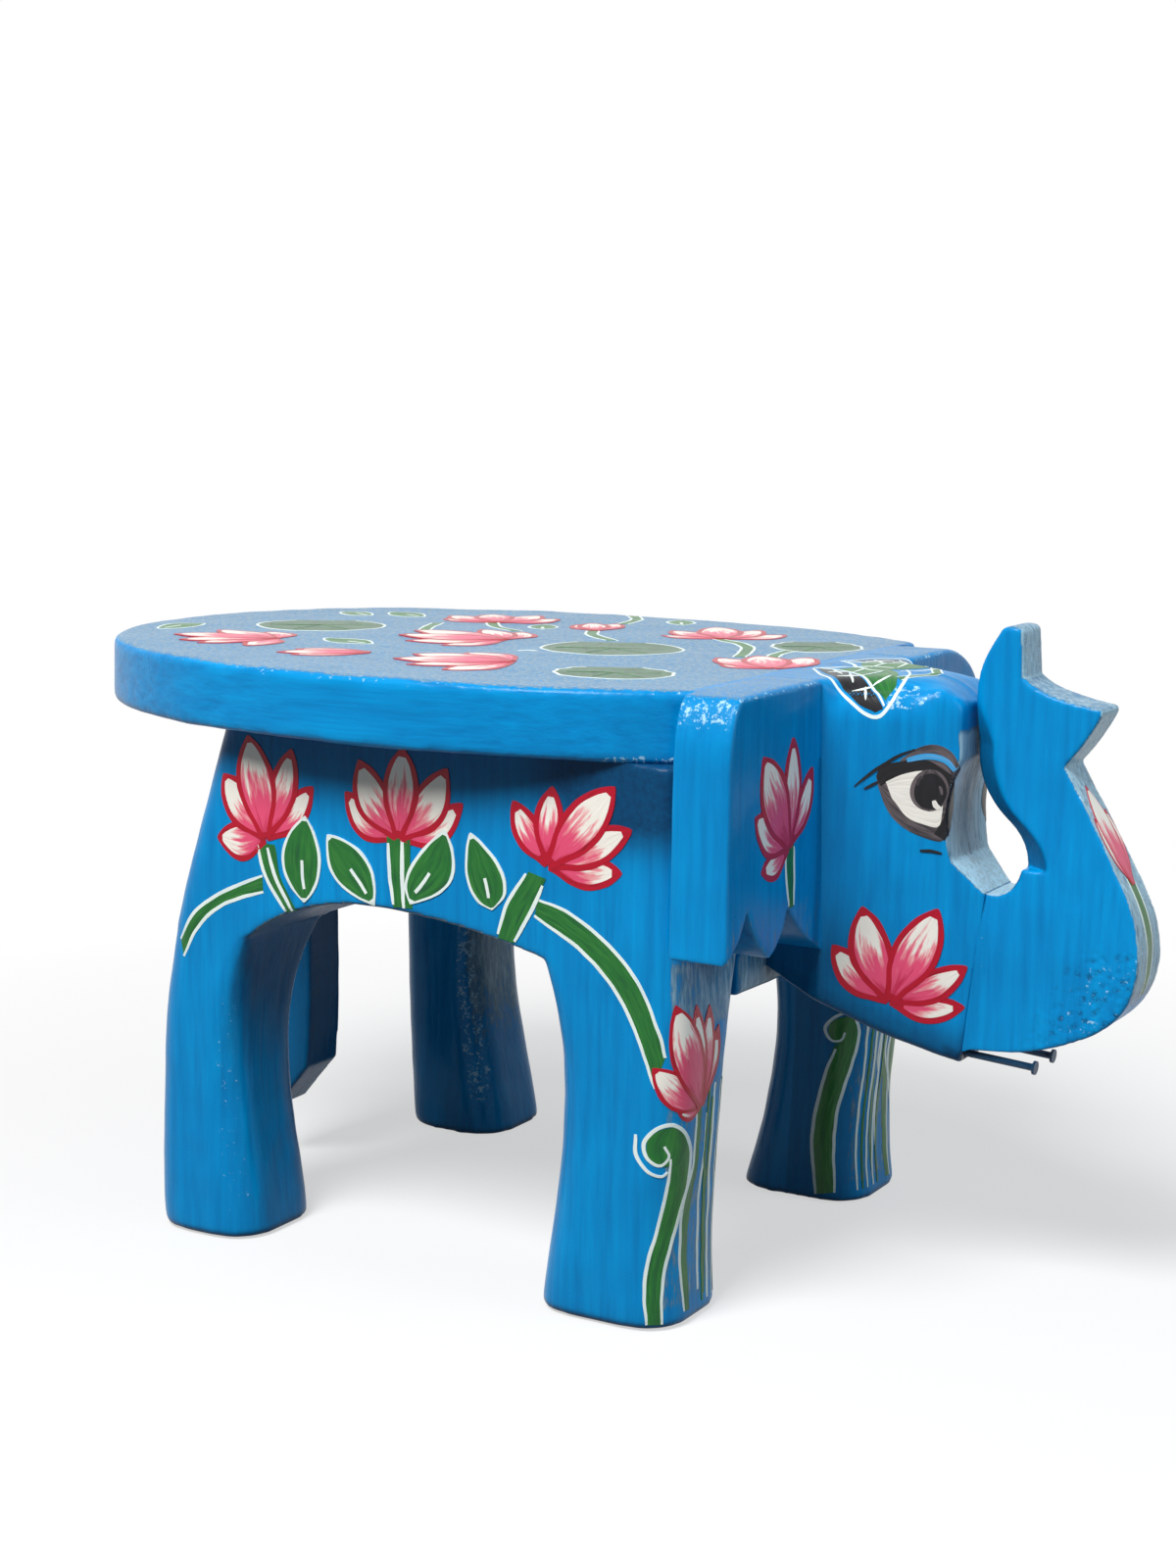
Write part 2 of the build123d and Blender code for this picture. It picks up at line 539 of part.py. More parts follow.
def nail_rod(side, radius):
    """A round rod along the nail's centre line."""
    path = nail_path(side)
    return sweep(Plane(path @ 0, z_dir=path % 0) * Circle(radius), path=path)


def tusk_nail(side):
    path = nail_path(side)
    head = Plane(path @ 1, z_dir=path % 1) * Cylinder(NAIL_HEAD_D / 2, NAIL_HEAD_T)
    return nail_rod(side, NAIL_D / 2) + head


seat_peg_places = [
    (x, side * (CORE_HALF_WIDTH + FLANK_T / 2), SEAT_UNDER_Z)
    for side in (RIGHT, LEFT) for x in SEAT_PEG_PLACES_X
]
flank_peg_places = [
    (x, side * CORE_HALF_WIDTH, FLANK_PEG_Z)
    for side in (RIGHT, LEFT) for x in FLANK_PEG_PLACES_X
]
ear_peg_places = [
    (BODY_FRONT, side * y, SEAT_UNDER_Z - depth) for side in (RIGHT, LEFT) for y, depth in EAR_PEG_PLACES
]
head_peg_places = [
    (BODY_FRONT, side * HEAD_PEG_Y, z) for side in (RIGHT, LEFT) for z in HEAD_PEG_HEIGHTS
]
trunk_peg_places = [
    (
        THROAT_X + (LOOP_FLOOR_X - THROAT_X) * (z - THROAT_Z) / (LOOP_FLOOR_Z - THROAT_Z),
        side * TRUNK_PEG_Y,
        z,
    )
    for side in (RIGHT, LEFT) for z in TRUNK_PEG_HEIGHTS
]
tail_peg_places = [
    ((rump_edge() @ share).X, 0, (rump_edge() @ share).Y) for share in TAIL_PEG_SHARES
]

# Each kind of peg: diameter, length, axis and middle points
pegs = {
    "seat_pegs": (SEAT_PEG_D, SEAT_PEG_LENGTH, "Z", seat_peg_places),
    "flank_pegs": (FLANK_PEG_D, FLANK_PEG_LENGTH, "Y", flank_peg_places),
    "ear_pegs": (EAR_PEG_D, EAR_PEG_LENGTH, "X", ear_peg_places),
    "head_pegs": (HEAD_PEG_D, HEAD_PEG_LENGTH, "X", head_peg_places),
    "trunk_pegs": (TRUNK_PEG_D, TRUNK_PEG_LENGTH, "X", trunk_peg_places),
    "tail_pegs": (TAIL_PEG_D, TAIL_PEG_LENGTH, "X", tail_peg_places),
}

# The pieces of wood, and the kinds of peg that each is bored for
bored = {
    "seat_board": (seat_board(), ("seat_pegs",)),
    "body_core": (body_core(), ("flank_pegs", "ear_pegs", "head_pegs", "tail_pegs")),
    "right_flank": (flank(RIGHT), ("seat_pegs", "flank_pegs", "ear_pegs")),
    "left_flank": (flank(LEFT), ("seat_pegs", "flank_pegs", "ear_pegs")),
    "right_ear": (ear(RIGHT, EAR_CORNER_RIGHT), ("ear_pegs",)),
    "left_ear": (ear(LEFT, EAR_CORNER_LEFT), ("ear_pegs",)),
    "right_head_half": (head_half(RIGHT), ("head_pegs", "trunk_pegs")),
    "left_head_half": (head_half(LEFT), ("head_pegs", "trunk_pegs")),
    "trunk_board": (trunk_board(), ("trunk_pegs",)),
    "tail_board": (tail_board(), ("tail_pegs",)),
}

pieces = {}
for name, (wood, kinds) in bored.items():
    for kind in kinds:
        diameter, length, axis, places = pegs[kind]
        for place in places:
            wood = wood - peg_hole(diameter, length, place, axis)
    pieces[name] = wood
for side, name in ((RIGHT, "right"), (LEFT, "left")):
    pieces[name + "_head_half"] -= nail_rod(side, NAIL_D / 2 + NAIL_GAP)
    pieces[name + "_tusk_nail"] = tusk_nail(side)
for name, (diameter, length, axis, places) in pegs.items():
    pieces[name] = ShapeList(peg(diameter, length, place, axis) for place in places)

to_origin = Pos(-CENTRE_X, 0, 0)
for name, piece in pieces.items():
    solids = [to_origin * solid for solid in piece.solids()]
    export_step(Compound(solids) if len(solids) > 1 else solids[0], f"parts/{name}.step")
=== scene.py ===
"""Looks for the carved elephant stool: hand-carved wood under glossy blue enamel, with painted lotuses."""

import math
import random

import bmesh
import bpy
import numpy as np
from mathutils import Matrix, Vector, noise
from mathutils.bvhtree import BVHTree


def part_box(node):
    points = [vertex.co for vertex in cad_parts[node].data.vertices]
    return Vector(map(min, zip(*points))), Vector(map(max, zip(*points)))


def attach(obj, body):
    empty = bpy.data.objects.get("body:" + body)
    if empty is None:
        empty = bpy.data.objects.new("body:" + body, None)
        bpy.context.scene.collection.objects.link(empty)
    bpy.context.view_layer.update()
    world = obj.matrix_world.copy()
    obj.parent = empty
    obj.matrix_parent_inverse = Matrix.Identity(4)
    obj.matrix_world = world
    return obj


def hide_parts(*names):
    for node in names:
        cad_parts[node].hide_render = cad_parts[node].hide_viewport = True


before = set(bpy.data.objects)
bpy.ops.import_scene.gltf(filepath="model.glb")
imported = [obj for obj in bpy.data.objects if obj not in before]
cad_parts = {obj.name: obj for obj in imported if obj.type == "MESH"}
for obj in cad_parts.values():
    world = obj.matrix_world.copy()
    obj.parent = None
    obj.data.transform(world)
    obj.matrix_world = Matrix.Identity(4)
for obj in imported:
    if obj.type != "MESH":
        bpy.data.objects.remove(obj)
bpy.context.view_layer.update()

MM = 0.001

# Paints (linear colour)
BLUE_DEEP, BLUE, BLUE_LIGHT = (0.0, 0.19, 0.48), (0.0, 0.25, 0.59), (0.0, 0.31, 0.68)
# Grey-lavender tones of worn paint and of painted sheen on the glossy enamel
SHEEN_WEAR_DARK, SHEEN_WEAR, SHEEN_WEAR_LIGHT = (0.03, 0.12, 0.21), (0.14, 0.26, 0.36), (0.34, 0.53, 0.63)
# Pale cyan of painted highlights and glints, and of a few chipped specks
GLINT_FLECK = (0.40, 0.66, 0.82)
# Dark navy of painted shade, with some grime
SHADE_GRIME = (0.004, 0.03, 0.085)
CRIMSON_DARK, CRIMSON = (0.15, 0.001, 0.009), (0.44, 0.002, 0.020)
PINK_DEEP, PINK, PINK_LIGHT = (0.55, 0.020, 0.075), (0.74, 0.075, 0.17), (0.82, 0.32, 0.34)
CREAM = (0.86, 0.82, 0.74)
GREEN_DARK, GREEN, GREEN_LIGHT = (0.006, 0.06, 0.022), (0.010, 0.135, 0.022), (0.035, 0.20, 0.032)
PAD_GREEN = (0.035, 0.14, 0.06)
WHITE_COOL, WHITE = (0.60, 0.74, 0.80), (0.78, 0.87, 0.82)
SOOT, BLACK = (0.012, 0.012, 0.016), (0.003, 0.003, 0.004)
LID_DARK, LID = (0.035, 0.03, 0.035), (0.13, 0.105, 0.11)
SKY = (0.10, 0.36, 0.66)
CREAM_DARK = (0.70, 0.66, 0.58)
WOOD_DARK, WOOD_PALE = (0.30, 0.17, 0.08), (0.55, 0.37, 0.20)
STEEL, NAIL_DARK, NAIL_BLUE = (0.012, 0.016, 0.025), (0.0, 0.05, 0.13), (0.0, 0.14, 0.32)



def new_object(name, data):
    """An object with this data, in the scene."""
    item = bpy.data.objects.new(name, data)
    bpy.context.scene.collection.objects.link(item)
    return item


# ---- Nodes ---------------------------------------------------------

class Nodes:
    """The nodes of a material or of the world. Most methods add a node and return its output."""

    def __init__(self, owner):
        owner.use_nodes = True
        self.owner = owner
        self.nodes = owner.node_tree.nodes
        self.link = owner.node_tree.links.new

    def wire(self, node, inputs, output=0):
        """Links or sets a node's inputs and returns an output; an input given None stays as it is."""
        for name, value in inputs.items():
            socket = node.inputs[name]
            if isinstance(value, bpy.types.NodeSocket):
                self.link(value, socket)
            elif value is not None:
                socket.default_value = (*value, 1) if socket.type == "RGBA" else value
        return node.outputs[output]

    def add(self, kind, inputs=(), output=0):
        return self.wire(self.nodes.new("ShaderNode" + kind), dict(inputs), output)

    def scaled(self, vector, scale):
        """A vector times a scale per axis: a small scale stretches a pattern along that axis."""
        return self.add("Mapping", {"Vector": vector, "Scale": scale})

    def noise(self, vector, scale, detail, roughness):
        inputs = {"Vector": vector, "Scale": scale, "Detail": detail, "Roughness": roughness}
        return self.add("TexNoise", inputs)

    def ramp(self, value, stops):
        """A colour ramp through (position, colour) stops; a colour may be a single grey level."""
        node = self.nodes.new("ShaderNodeValToRGB")
        elements = node.color_ramp.elements
        while len(elements) < len(stops):
            elements.new(0.5)
        for element, (position, colour) in zip(elements, stops):
            element.position = position
            element.color = (*colour, 1) if isinstance(colour, tuple) else (colour, colour, colour, 1)
        return self.wire(node, {"Fac": value})

    def mix(self, factor, first, second):
        """A mix of two colours: sockets 0, 6 and 7 and output 2 of the node are the ones for colours."""
        node = self.nodes.new("ShaderNodeMix")
        node.data_type = "RGBA"
        return self.wire(node, {0: factor, 6: first, 7: second}, 2)

    def maths(self, operation, *values):
        node = self.nodes.new("ShaderNodeMath")
        node.operation = operation
        return self.wire(node, dict(enumerate(values)))

    def attribute(self, name, output="Fac"):
        node = self.nodes.new("ShaderNodeAttribute")
        node.attribute_name = name
        return node.outputs[output]

    def seen_directly(self):
        """1 for rays from the camera, mirrors and clear things, and 0 for light that falls on a surface."""
        rays = self.nodes.new("ShaderNodeLightPath").outputs
        direct = self.maths("MAXIMUM", rays["Is Camera Ray"], rays["Is Glossy Ray"])
        return self.maths("MAXIMUM", direct, rays["Is Transmission Ray"])

    def shade(self, inputs, height, depth, strength=1.0):
        """Wires the Principled shader, with a height pattern as its relief, and returns the material."""
        bump = self.add("Bump", {"Height": height, "Distance": depth, "Strength": strength})
        self.wire(self.nodes["Principled BSDF"], {**inputs, "Normal": bump})
        return self.owner


# ---- Materials -----------------------------------------------------

# Noise patterns: scale per metre, detail and roughness
STROKES, BROAD, CLOUD = (420, 3, 0.6), (90, 2, 0.5), (22, 3, 0.5)
FINE, SPECKS, DASHES = (900, 2, 0.6), (520, 4, 0.75), (650, 3, 0.7)
GRAIN, PATCHES = (900, 4, 0.6), (700, 3, 0.6)
PITS_PER_METRE = 340
STROKE_STRETCH, DASH_STRETCH, GRAIN_STRETCH = 0.06, 0.18, 0.1       # scale along a stretched axis
DEEP_RELIEF, RELIEF = 0.8 * MM, 0.3 * MM


def enamel():
    """Glossy cyan-blue enamel, brushed on over carved wood; grey in places where worn and with painted sheen,
    flecked with painted highlights, and darkened with painted shade and some grime.
    """
    tree = Nodes(bpy.data.materials.new("blue_enamel"))
    place = tree.add("TexCoord", output="Object")
    upright = tree.scaled(place, (1, 1, STROKE_STRETCH))
    lengthwise = tree.scaled(place, (STROKE_STRETCH, 1, 1))
    lies = tree.attribute("lengthwise")
    strokes = tree.mix(lies, tree.noise(upright, *STROKES), tree.noise(lengthwise, *STROKES))
    broad = tree.mix(lies, tree.noise(upright, *BROAD), tree.noise(lengthwise, *BROAD))
    cloud, fine, specks = (tree.noise(place, *pattern) for pattern in (CLOUD, FINE, SPECKS))
    dashes = tree.noise(tree.scaled(place, (1, 1, DASH_STRETCH)), *DASHES)

    colour = tree.ramp(strokes, [(0.3, BLUE_DEEP), (0.5, BLUE), (0.74, BLUE_LIGHT)])
    colour = tree.mix(tree.ramp(broad, [(0.35, 0.0), (0.7, 0.4)]), colour, BLUE)
    colour = tree.mix(tree.ramp(broad, [(0.62, 0.0), (0.8, 0.5)]), colour, BLUE_LIGHT)
    colour = tree.mix(tree.ramp(cloud, [(0.36, 0.45), (0.6, 0.0)]), colour, BLUE_DEEP)

    # Grey patches: worn paint, with painted sheen where the glossy enamel would reflect light
    worn = tree.attribute("worn")
    sheen_wear_mask = tree.maths("ADD", worn, tree.maths("MULTIPLY", tree.maths("SUBTRACT", dashes, 0.5), 1.3))
    sheen_wear_tone = tree.maths("ADD", dashes, tree.maths("MULTIPLY", tree.maths("SUBTRACT", worn, 0.68), 0.6))
    sheen_wear_tone = tree.ramp(sheen_wear_tone, [(0.30, SHEEN_WEAR_DARK), (0.5, SHEEN_WEAR), (0.72, SHEEN_WEAR_LIGHT)])
    colour = tree.mix(tree.ramp(sheen_wear_mask, [(0.40, 0.0), (0.62, 0.95)]), colour, sheen_wear_tone)

    # Pale flecks: painted highlights and glints, with some chipped specks
    glints_and_flecks = tree.attribute("glints_and_flecks")
    glint_fleck_level = tree.maths("ADD", tree.maths("MULTIPLY", glints_and_flecks, 0.30), specks)
    colour = tree.mix(tree.ramp(glint_fleck_level, [(0.76, 0.0), (0.82, 0.9)]), colour, GLINT_FLECK)

    # Dark navy: painted shade in hollows, under overhangs and on faces turned from the light, with some grime
    shade_and_grime = tree.attribute("shade_and_grime")
    shade_and_dirt = tree.maths("MULTIPLY", shade_and_grime, tree.ramp(specks, [(0.30, 1.0), (0.75, 0.82)]))
    colour = tree.mix(shade_and_dirt, colour, SHADE_GRIME)
    # Pits: dents darkened with painted shade
    cells = tree.add("TexVoronoi", {"Vector": place, "Scale": PITS_PER_METRE})
    pit = tree.maths("MULTIPLY", tree.attribute("pitted"), tree.ramp(cells, [(0.16, 1.0), (0.46, 0.0)]))
    pit = tree.maths("MULTIPLY", pit, tree.ramp(specks, [(0.44, 0.0), (0.54, 1.0)]))
    colour = tree.mix(tree.maths("MULTIPLY", pit, 0.6), colour, SHADE_GRIME)

    height = tree.mix(0.35, strokes, broad)
    height = tree.mix(glints_and_flecks, height, specks)
    height = tree.mix(pit, height, (0.0, 0.0, 0.0))
    return tree.shade({
        "Base Color": colour,
        "Roughness": tree.ramp(fine, [(0.3, 0.27), (0.7, 0.37)]),
        "Specular IOR Level": 0.09,
        "Coat Weight": tree.maths("MULTIPLY", tree.maths("SUBTRACT", 1.0, shade_and_grime), 0.08),
        "Coat Roughness": 0.12,
    }, height, DEEP_RELIEF, 0.4)


def bare_wood():
    """Pale sawn wood with its grain along the pegs."""
    tree = Nodes(bpy.data.materials.new("peg_wood"))
    grain = tree.noise(tree.scaled(tree.add("TexCoord", output="Object"), (1, 1, GRAIN_STRETCH)), *GRAIN)
    colour = tree.ramp(grain, [(0.3, WOOD_DARK), (0.7, WOOD_PALE)])
    return tree.shade({"Base Color": colour, "Roughness": 0.65}, grain, RELIEF)


def painted_steel():
    """A wire nail brushed over with the same enamel, thin enough to show dark steel in places."""
    tree = Nodes(bpy.data.materials.new("painted_nail"))
    patches = tree.noise(None, *PATCHES)
    colour = tree.ramp(patches, [(0.36, STEEL), (0.5, NAIL_DARK), (0.75, NAIL_BLUE)])
    return tree.shade({"Base Color": colour, "Metallic": 0.2, "Roughness": 0.3}, patches, RELIEF)


def brush_paint(name, stops, streak=0.35, graded=False):
    """A brushed paint: its colour varies in streaks along the stroke, and may change from base to tip."""
    tree = Nodes(bpy.data.materials.new(name))
    stroke = tree.scaled(tree.attribute("stroke", "Vector"), (1.1, 0.10, 7.0))
    streaks = tree.noise(stroke, 1.0, 3, 0.6)
    middle, gain = (tree.attribute("along"), 2) if graded else (0.5, 4)
    level = tree.maths("MULTIPLY", tree.maths("SUBTRACT", streaks, 0.5), streak * gain)
    colour = tree.ramp(tree.maths("ADD", middle, level), stops)
    gloss = {"Roughness": 0.3, "Specular IOR Level": 0.28}
    return tree.shade({"Base Color": colour, **gloss}, streaks, RELIEF, 0.5)


ENAMEL = enamel()
PEG_WOOD = bare_wood()
NAIL_PAINT = painted_steel()
PAINTS = {
    "rim": brush_paint("crimson_paint", [(0.1, CRIMSON_DARK), (0.38, CRIMSON), (0.9, CRIMSON)]),
    "petal": brush_paint("petal_paint", [(0.0, PINK_DEEP), (0.17, PINK), (0.36, PINK), (0.49, PINK_LIGHT),
                                         (0.59, CREAM), (1.0, CREAM)], 0.50, graded=True),
    "green": brush_paint("leaf_green_paint", [(0.1, GREEN_DARK), (0.45, GREEN), (0.9, GREEN_LIGHT)]),
    "pad": brush_paint("pad_green_paint", [(0.1, GREEN_DARK), (0.9, PAD_GREEN)], 0.5),
    "white": brush_paint("white_paint", [(0.15, WHITE_COOL), (0.5, WHITE), (0.9, WHITE)]),
    "black": brush_paint("black_paint", [(0.2, BLACK), (0.8, SOOT)]),
    "lid": brush_paint("eyelid_paint", [(0.25, LID_DARK), (0.7, LID)], 0.5),
    "sky": brush_paint("pale_blue_paint", [(0.2, BLUE_LIGHT), (0.7, SKY)]),
    "cream": brush_paint("cream_paint", [(0.1, CREAM_DARK), (0.5, CREAM)]),
}

# ---- Carved wood ---------------------------------------------------

# Node: size of its quads in mm, and how often an exposed edge is smoothed
WOOD = {
    "seat_board": (1.3, 4),
    "body_core": (1.3, 4),
    "right_flank": (1.0, 6),
    "left_flank": (1.0, 6),
    "right_ear": (0.7, 5),
    "left_ear": (0.7, 5),
    "right_head_half": (0.75, 5),
    "left_head_half": (0.75, 5),
    "trunk_board": (0.65, 5),
    "tail_board": (0.9, 5),
}
REMESH_LIMIT = 0.98             # of the even mesh's box that a piece may fill
PULL = 0.6                      # how far a round of smoothing moves a point
JOINT_REACH = 2.5 * MM          # points nearer than this to another piece of wood keep their place
FOOT_REACH = 2.5 * MM           # and so do points this near the ground, which still soften
FOOT_ROUNDS, FOOT_SOFT_Z = 16, 9 * MM       # the feet's lower edges are rounded further
CROWN_R = 12 * MM               # the crown's side edges are carved round
CROWN_X, CROWN_FADE = (86, 110), 4          # mm, the stretch where they are, and its soft ends
BROW_ROUNDS, BROW_X, BROW_Z = 18, (102 * MM, 109 * MM), (158 * MM, 168 * MM)    # its front edge, smoothed
THROAT_SWELL, THROAT_BLEND = 1.1 * MM, 8 * MM               # the trunk swells to meet the head
THROAT, THROAT_LEAN = (120.6 * MM, 73.4 * MM), 0.10         # lower end of the trunk's joint
THROAT_FADE_Z = (108 * MM, 120 * MM)        # and the height where the swell fades out
WAVE, WAVE_HEIGHT = 30 * MM, 0.45 * MM
TOOL, TOOL_HEIGHT = 9 * MM, 0.16 * MM
PIT, PIT_DEPTH = 2.2 * MM, 0.45 * MM
CROWN_TOP_Z = 180 * MM
HEAD_CORNER, HEAD_OUT = (83.4 * MM, -30.5 * MM), (0.430, -0.903)    # side of the head, near side
SHARP_EDGE = math.radians(50)   # sharper edges keep their crease
TINY = 1e-9                     # keeps lengths and signs off zero


def merged_mesh(node):
    """A copy of a CAD node's mesh with its split points joined again."""
    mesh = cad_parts[node].data.copy()
    joined = bmesh.new()
    joined.from_mesh(mesh)
    bmesh.ops.remove_doubles(joined, verts=joined.verts, dist=1e-6)
    joined.to_mesh(mesh)
    joined.free()
    return mesh


def even_quads(node, cell):
    """The CAD solid as an object of even quads of the given size, with its sharp edges kept."""
    piece = new_object(node + "_carved", merged_mesh(node))
    low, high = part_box(node)
    size = max(high - low)
    remesh = piece.modifiers.new("even", "REMESH")
    remesh.mode = "SHARP"
    remesh.octree_depth = math.ceil(math.log2(size / cell / REMESH_LIMIT))
    remesh.scale = size / cell / 2 ** remesh.octree_depth
    remesh.sharpness = 1.0
    remesh.use_remove_disconnected = False
    even = bpy.data.meshes.new_from_object(piece.evaluated_get(bpy.context.evaluated_depsgraph_get()))
    piece.modifiers.clear()
    piece.data = even
    return piece


def surface(meshes):
    """A BVH tree of several meshes."""
    points, triangles = [], []
    for mesh in meshes:
        mesh.calc_loop_triangles()
        offset = len(points)
        points += [vertex.co.copy() for vertex in mesh.vertices]
        triangles += [[offset + i for i in triangle.vertices] for triangle in mesh.loop_triangles]
    return BVHTree.FromPolygons(points, triangles)


def rise(value, low, high):
    """0 below a range and 1 above it, with a smooth step between."""
    share = np.clip((value - low) / (high - low), 0, 1)
    return share * share * (3 - 2 * share)


def fall(value, low, high):
    """1 below a range and 0 above it."""
    return 1 - rise(value, low, high)


def between(value, low, high, soft=2.0):
    """1 between two bounds and 0 outside them, with soft ends."""
    return rise(value, low - soft, low + soft) * fall(value, high - soft, high + soft)


def most(*marks):
    """The strongest of several marks at each point."""
    return np.maximum.reduce(marks)


def get_rows(data, key, size=3, kind=float):
    """The values of a mesh's data, a row for each item."""
    rows = np.empty(len(data) * size, kind)
    data.foreach_get(key, rows)
    return rows.reshape(-1, size)


def set_points(mesh, points):
    mesh.vertices.foreach_set("co", points.ravel())
    mesh.update()


def set_attribute(mesh, name, values):
    mesh.attributes.new(name, "FLOAT", "POINT").data.foreach_set("value", np.asarray(values, np.float32))


def soften(points, edges, weights, rounds):
    """Rounds edges off by moving each point towards the mean of its neighbours, by its weight."""
    first, second = edges.T
    count = np.bincount(edges.ravel(), minlength=len(points))
    for _ in range(rounds):
        mean = np.stack([
            np.bincount(first, points[second, axis], len(points))
            + np.bincount(second, points[first, axis], len(points)) for axis in range(3)
        ], axis=1) / count[:, None]
        points = points + PULL * weights[:, None] * (mean - points)
    return points


def marks_and_painted_light(node, points, normals):
    """Marks at a piece's points, from 0 to 1 each, places in mm: grey of worn paint with painted sheen, pale
    flecks that are mostly painted highlights, painted shade with some grime, and pits.
    """
    x, y, z = points.T / MM
    nx, ny, nz = normals.T
    worn, glints_and_flecks, shade_and_grime, pitted = np.zeros((4, len(points)))
    forward = rise(nx, 0.5, 0.75)
    if node == "trunk_board":
        front = forward * (x > 125)
        ledge = rise(nz, 0.3, 0.6) * between(z, 104, 128) * (x < 135)
        edge = between(nx, 0.15, 0.75, 0.1) * (x > 125) * between(z, 84, 110, 4)
        in_loop = rise(-nx, 0.15, 0.5) * between(x, 117, 145, 3) * between(z, 112, 170, 8) * (nz < 0.5)
        lip = rise(nz, 0.5, 0.8) * (z > 150) * (x > 128)
        # Grey on the front, lip and ledge is painted sheen with some wear; the flecks there and on the edges
        # are painted highlights; the dark inside the loop is painted shade.
        worn = most(front * (0.25 + 0.75 * rise(z, 88, 100)), 0.7 * lip, 1.05 * ledge)
        glints_and_flecks = most(0.68 * front * rise(z, 92, 100) + 0.6 * ledge, 0.55 * edge)
        shade_and_grime = 0.62 * in_loop
        pitted = rise(x + 0.5 * (96 - z), 143, 156) * between(z, 74, 107, 5) * (1 - forward * 0.8)
    elif node.endswith("head_half"):
        inside = (x > 106) * between(z, 120, 166) * forward
        ledge = (x > 108) * between(z, 112, 134) * rise(nz, 0.25, 0.5)
        crown = between(nz, 0.25, 0.9, 0.1) * between(z, 169, 181) * between(x, 98, 113) * (ny < -0.2)
        above_jaw = z - (88 - 0.47 * (x - 85))
        # Grey inside the loop, on the ledge and on the top is painted sheen with some wear; flecks there and
        # on the crown are painted glints; the dark along the jaw, by the ear, underneath and at the jaw's
        # corner is painted shade.
        worn = most(0.98 * inside, 1.1 * ledge, 0.45 * rise(nz, 0.75, 0.95) * (z > 160) * fall(x, 92, 104))
        glints_and_flecks = most(0.45 * inside * fall(z, 124, 138) + 0.74 * ledge, 0.78 * crown)
        shade_and_grime = most(0.72 * fall(above_jaw, 0, 12), 0.62 * fall(x, 84, 106) * fall(z, 96, 120),
                     0.75 * rise(-nz, 0.2, 0.6), 0.9 * rise(x, 111, 117) * fall(above_jaw, 1, 5))
    elif node.endswith("flank") or node == "body_core":
        chest = forward * (x > 55) * between(z, 84, 107, 3)
        front_legs = forward * (x > 40) * fall(z, 84, 92) * rise(z, 3, 8)
        rear_legs = forward * (x < -30)
        soffit = rise(-nz, 0.25, 0.5) * (abs(y) > 83.2) * between(z, 97, 112)
        inner = rise(-ny * np.sign(y), 0.4, 0.8) * (x > 40) * (z < 100) * (abs(y) > 40)
        corner = between(nx, 0.30, 0.9, 0.1) * (x < -30) * between(z, 10, 80, 8)
        # Grey on the chest, the front legs and the arch's soffit is painted sheen with some wear; flecks on
        # the rear legs' corners are painted highlights; the dark under the seat, most of all towards the ear,
        # on the legs' inner faces and under the arch is painted shade.
        worn = most(0.68 * chest, 0.46 * front_legs, 0.75 * soffit)
        glints_and_flecks = 0.42 * corner
        shade_and_grime = most(0.6 * rise(z, 132, 156) + 0.7 * rise(z, 126, 144) * rise(x, 12, 46), 0.40 * inner,
                     0.75 * rise(-nz, 0.4, 0.7) * between(z, 90, 115, 5))
        if node == "left_flank":
            # The far rear leg's front gets painted sheen with some wear, and stronger painted highlights.
            worn = most(worn, 0.72 * rear_legs * between(z, 34, 104, 22))
            glints_and_flecks = 0.75 * corner
        elif node == "right_flank":
            # Painted shade on the near rear leg's front.
            shade_and_grime = most(shade_and_grime, 0.55 * rear_legs * rise(z, 45, 90))
        else:
            # Painted shade under the chest.
            shade_and_grime = most(shade_and_grime, 0.5 * (x > 55) * fall(z, 84, 92))
        shade_and_grime = np.minimum(shade_and_grime, 0.96)
    elif node.endswith("ear"):
        # Grey on the ear's front and top is painted sheen with some wear, flecks on its rounded top edge are
        # painted highlights, and the dark in the corner by the head is painted shade.
        worn = most(0.36 * forward * fall(z, 112, 132), 0.50 * rise(nz, 0.75, 0.95) * (z > 150))
        glints_and_flecks = 0.78 * between(nz, 0.25, 0.92, 0.1) * (z > 158)
        shade_and_grime = 0.45 * forward * between(abs(y), 30, 34, 1.5) * (z < 158)
    elif node == "seat_board":
        # Grey on the top is painted reflection with some wear; the flecks on the lower edge by the ear and
        # along the top edge are painted highlights.
        worn = 0.60 * rise(nz, 0.7, 0.9)
        glints_and_flecks = most(0.8 * between(z, 158, 162.5, 1) * between(x, 44, 66, 3) * (ny < 0),
                      0.56 * between(nz, 0.3, 0.93, 0.1) * (z > 170))
    elif node == "tail_board":
        # Grey on the tail's forward faces is painted sheen with some wear, flecks on its sides are painted
        # highlights, and the dark over all but its back is painted shade.
        worn = 0.30 * between(nx, 0.2, 1.2, 0.2)
        glints_and_flecks = 0.4 * between(abs(ny), 0.3, 0.85, 0.1)
        shade_and_grime = 0.55 * between(nx, -0.3, 1.2, 0.2)
    # Every piece darkens within about 3 mm of the ground.
    shade_and_grime = most(shade_and_grime, fall(z, 0.6, 3.2))
    return {"worn": worn, "glints_and_flecks": np.clip(glints_and_flecks, 0, 1), "shade_and_grime": np.clip(shade_and_grime, 0, 1), "pitted": pitted}


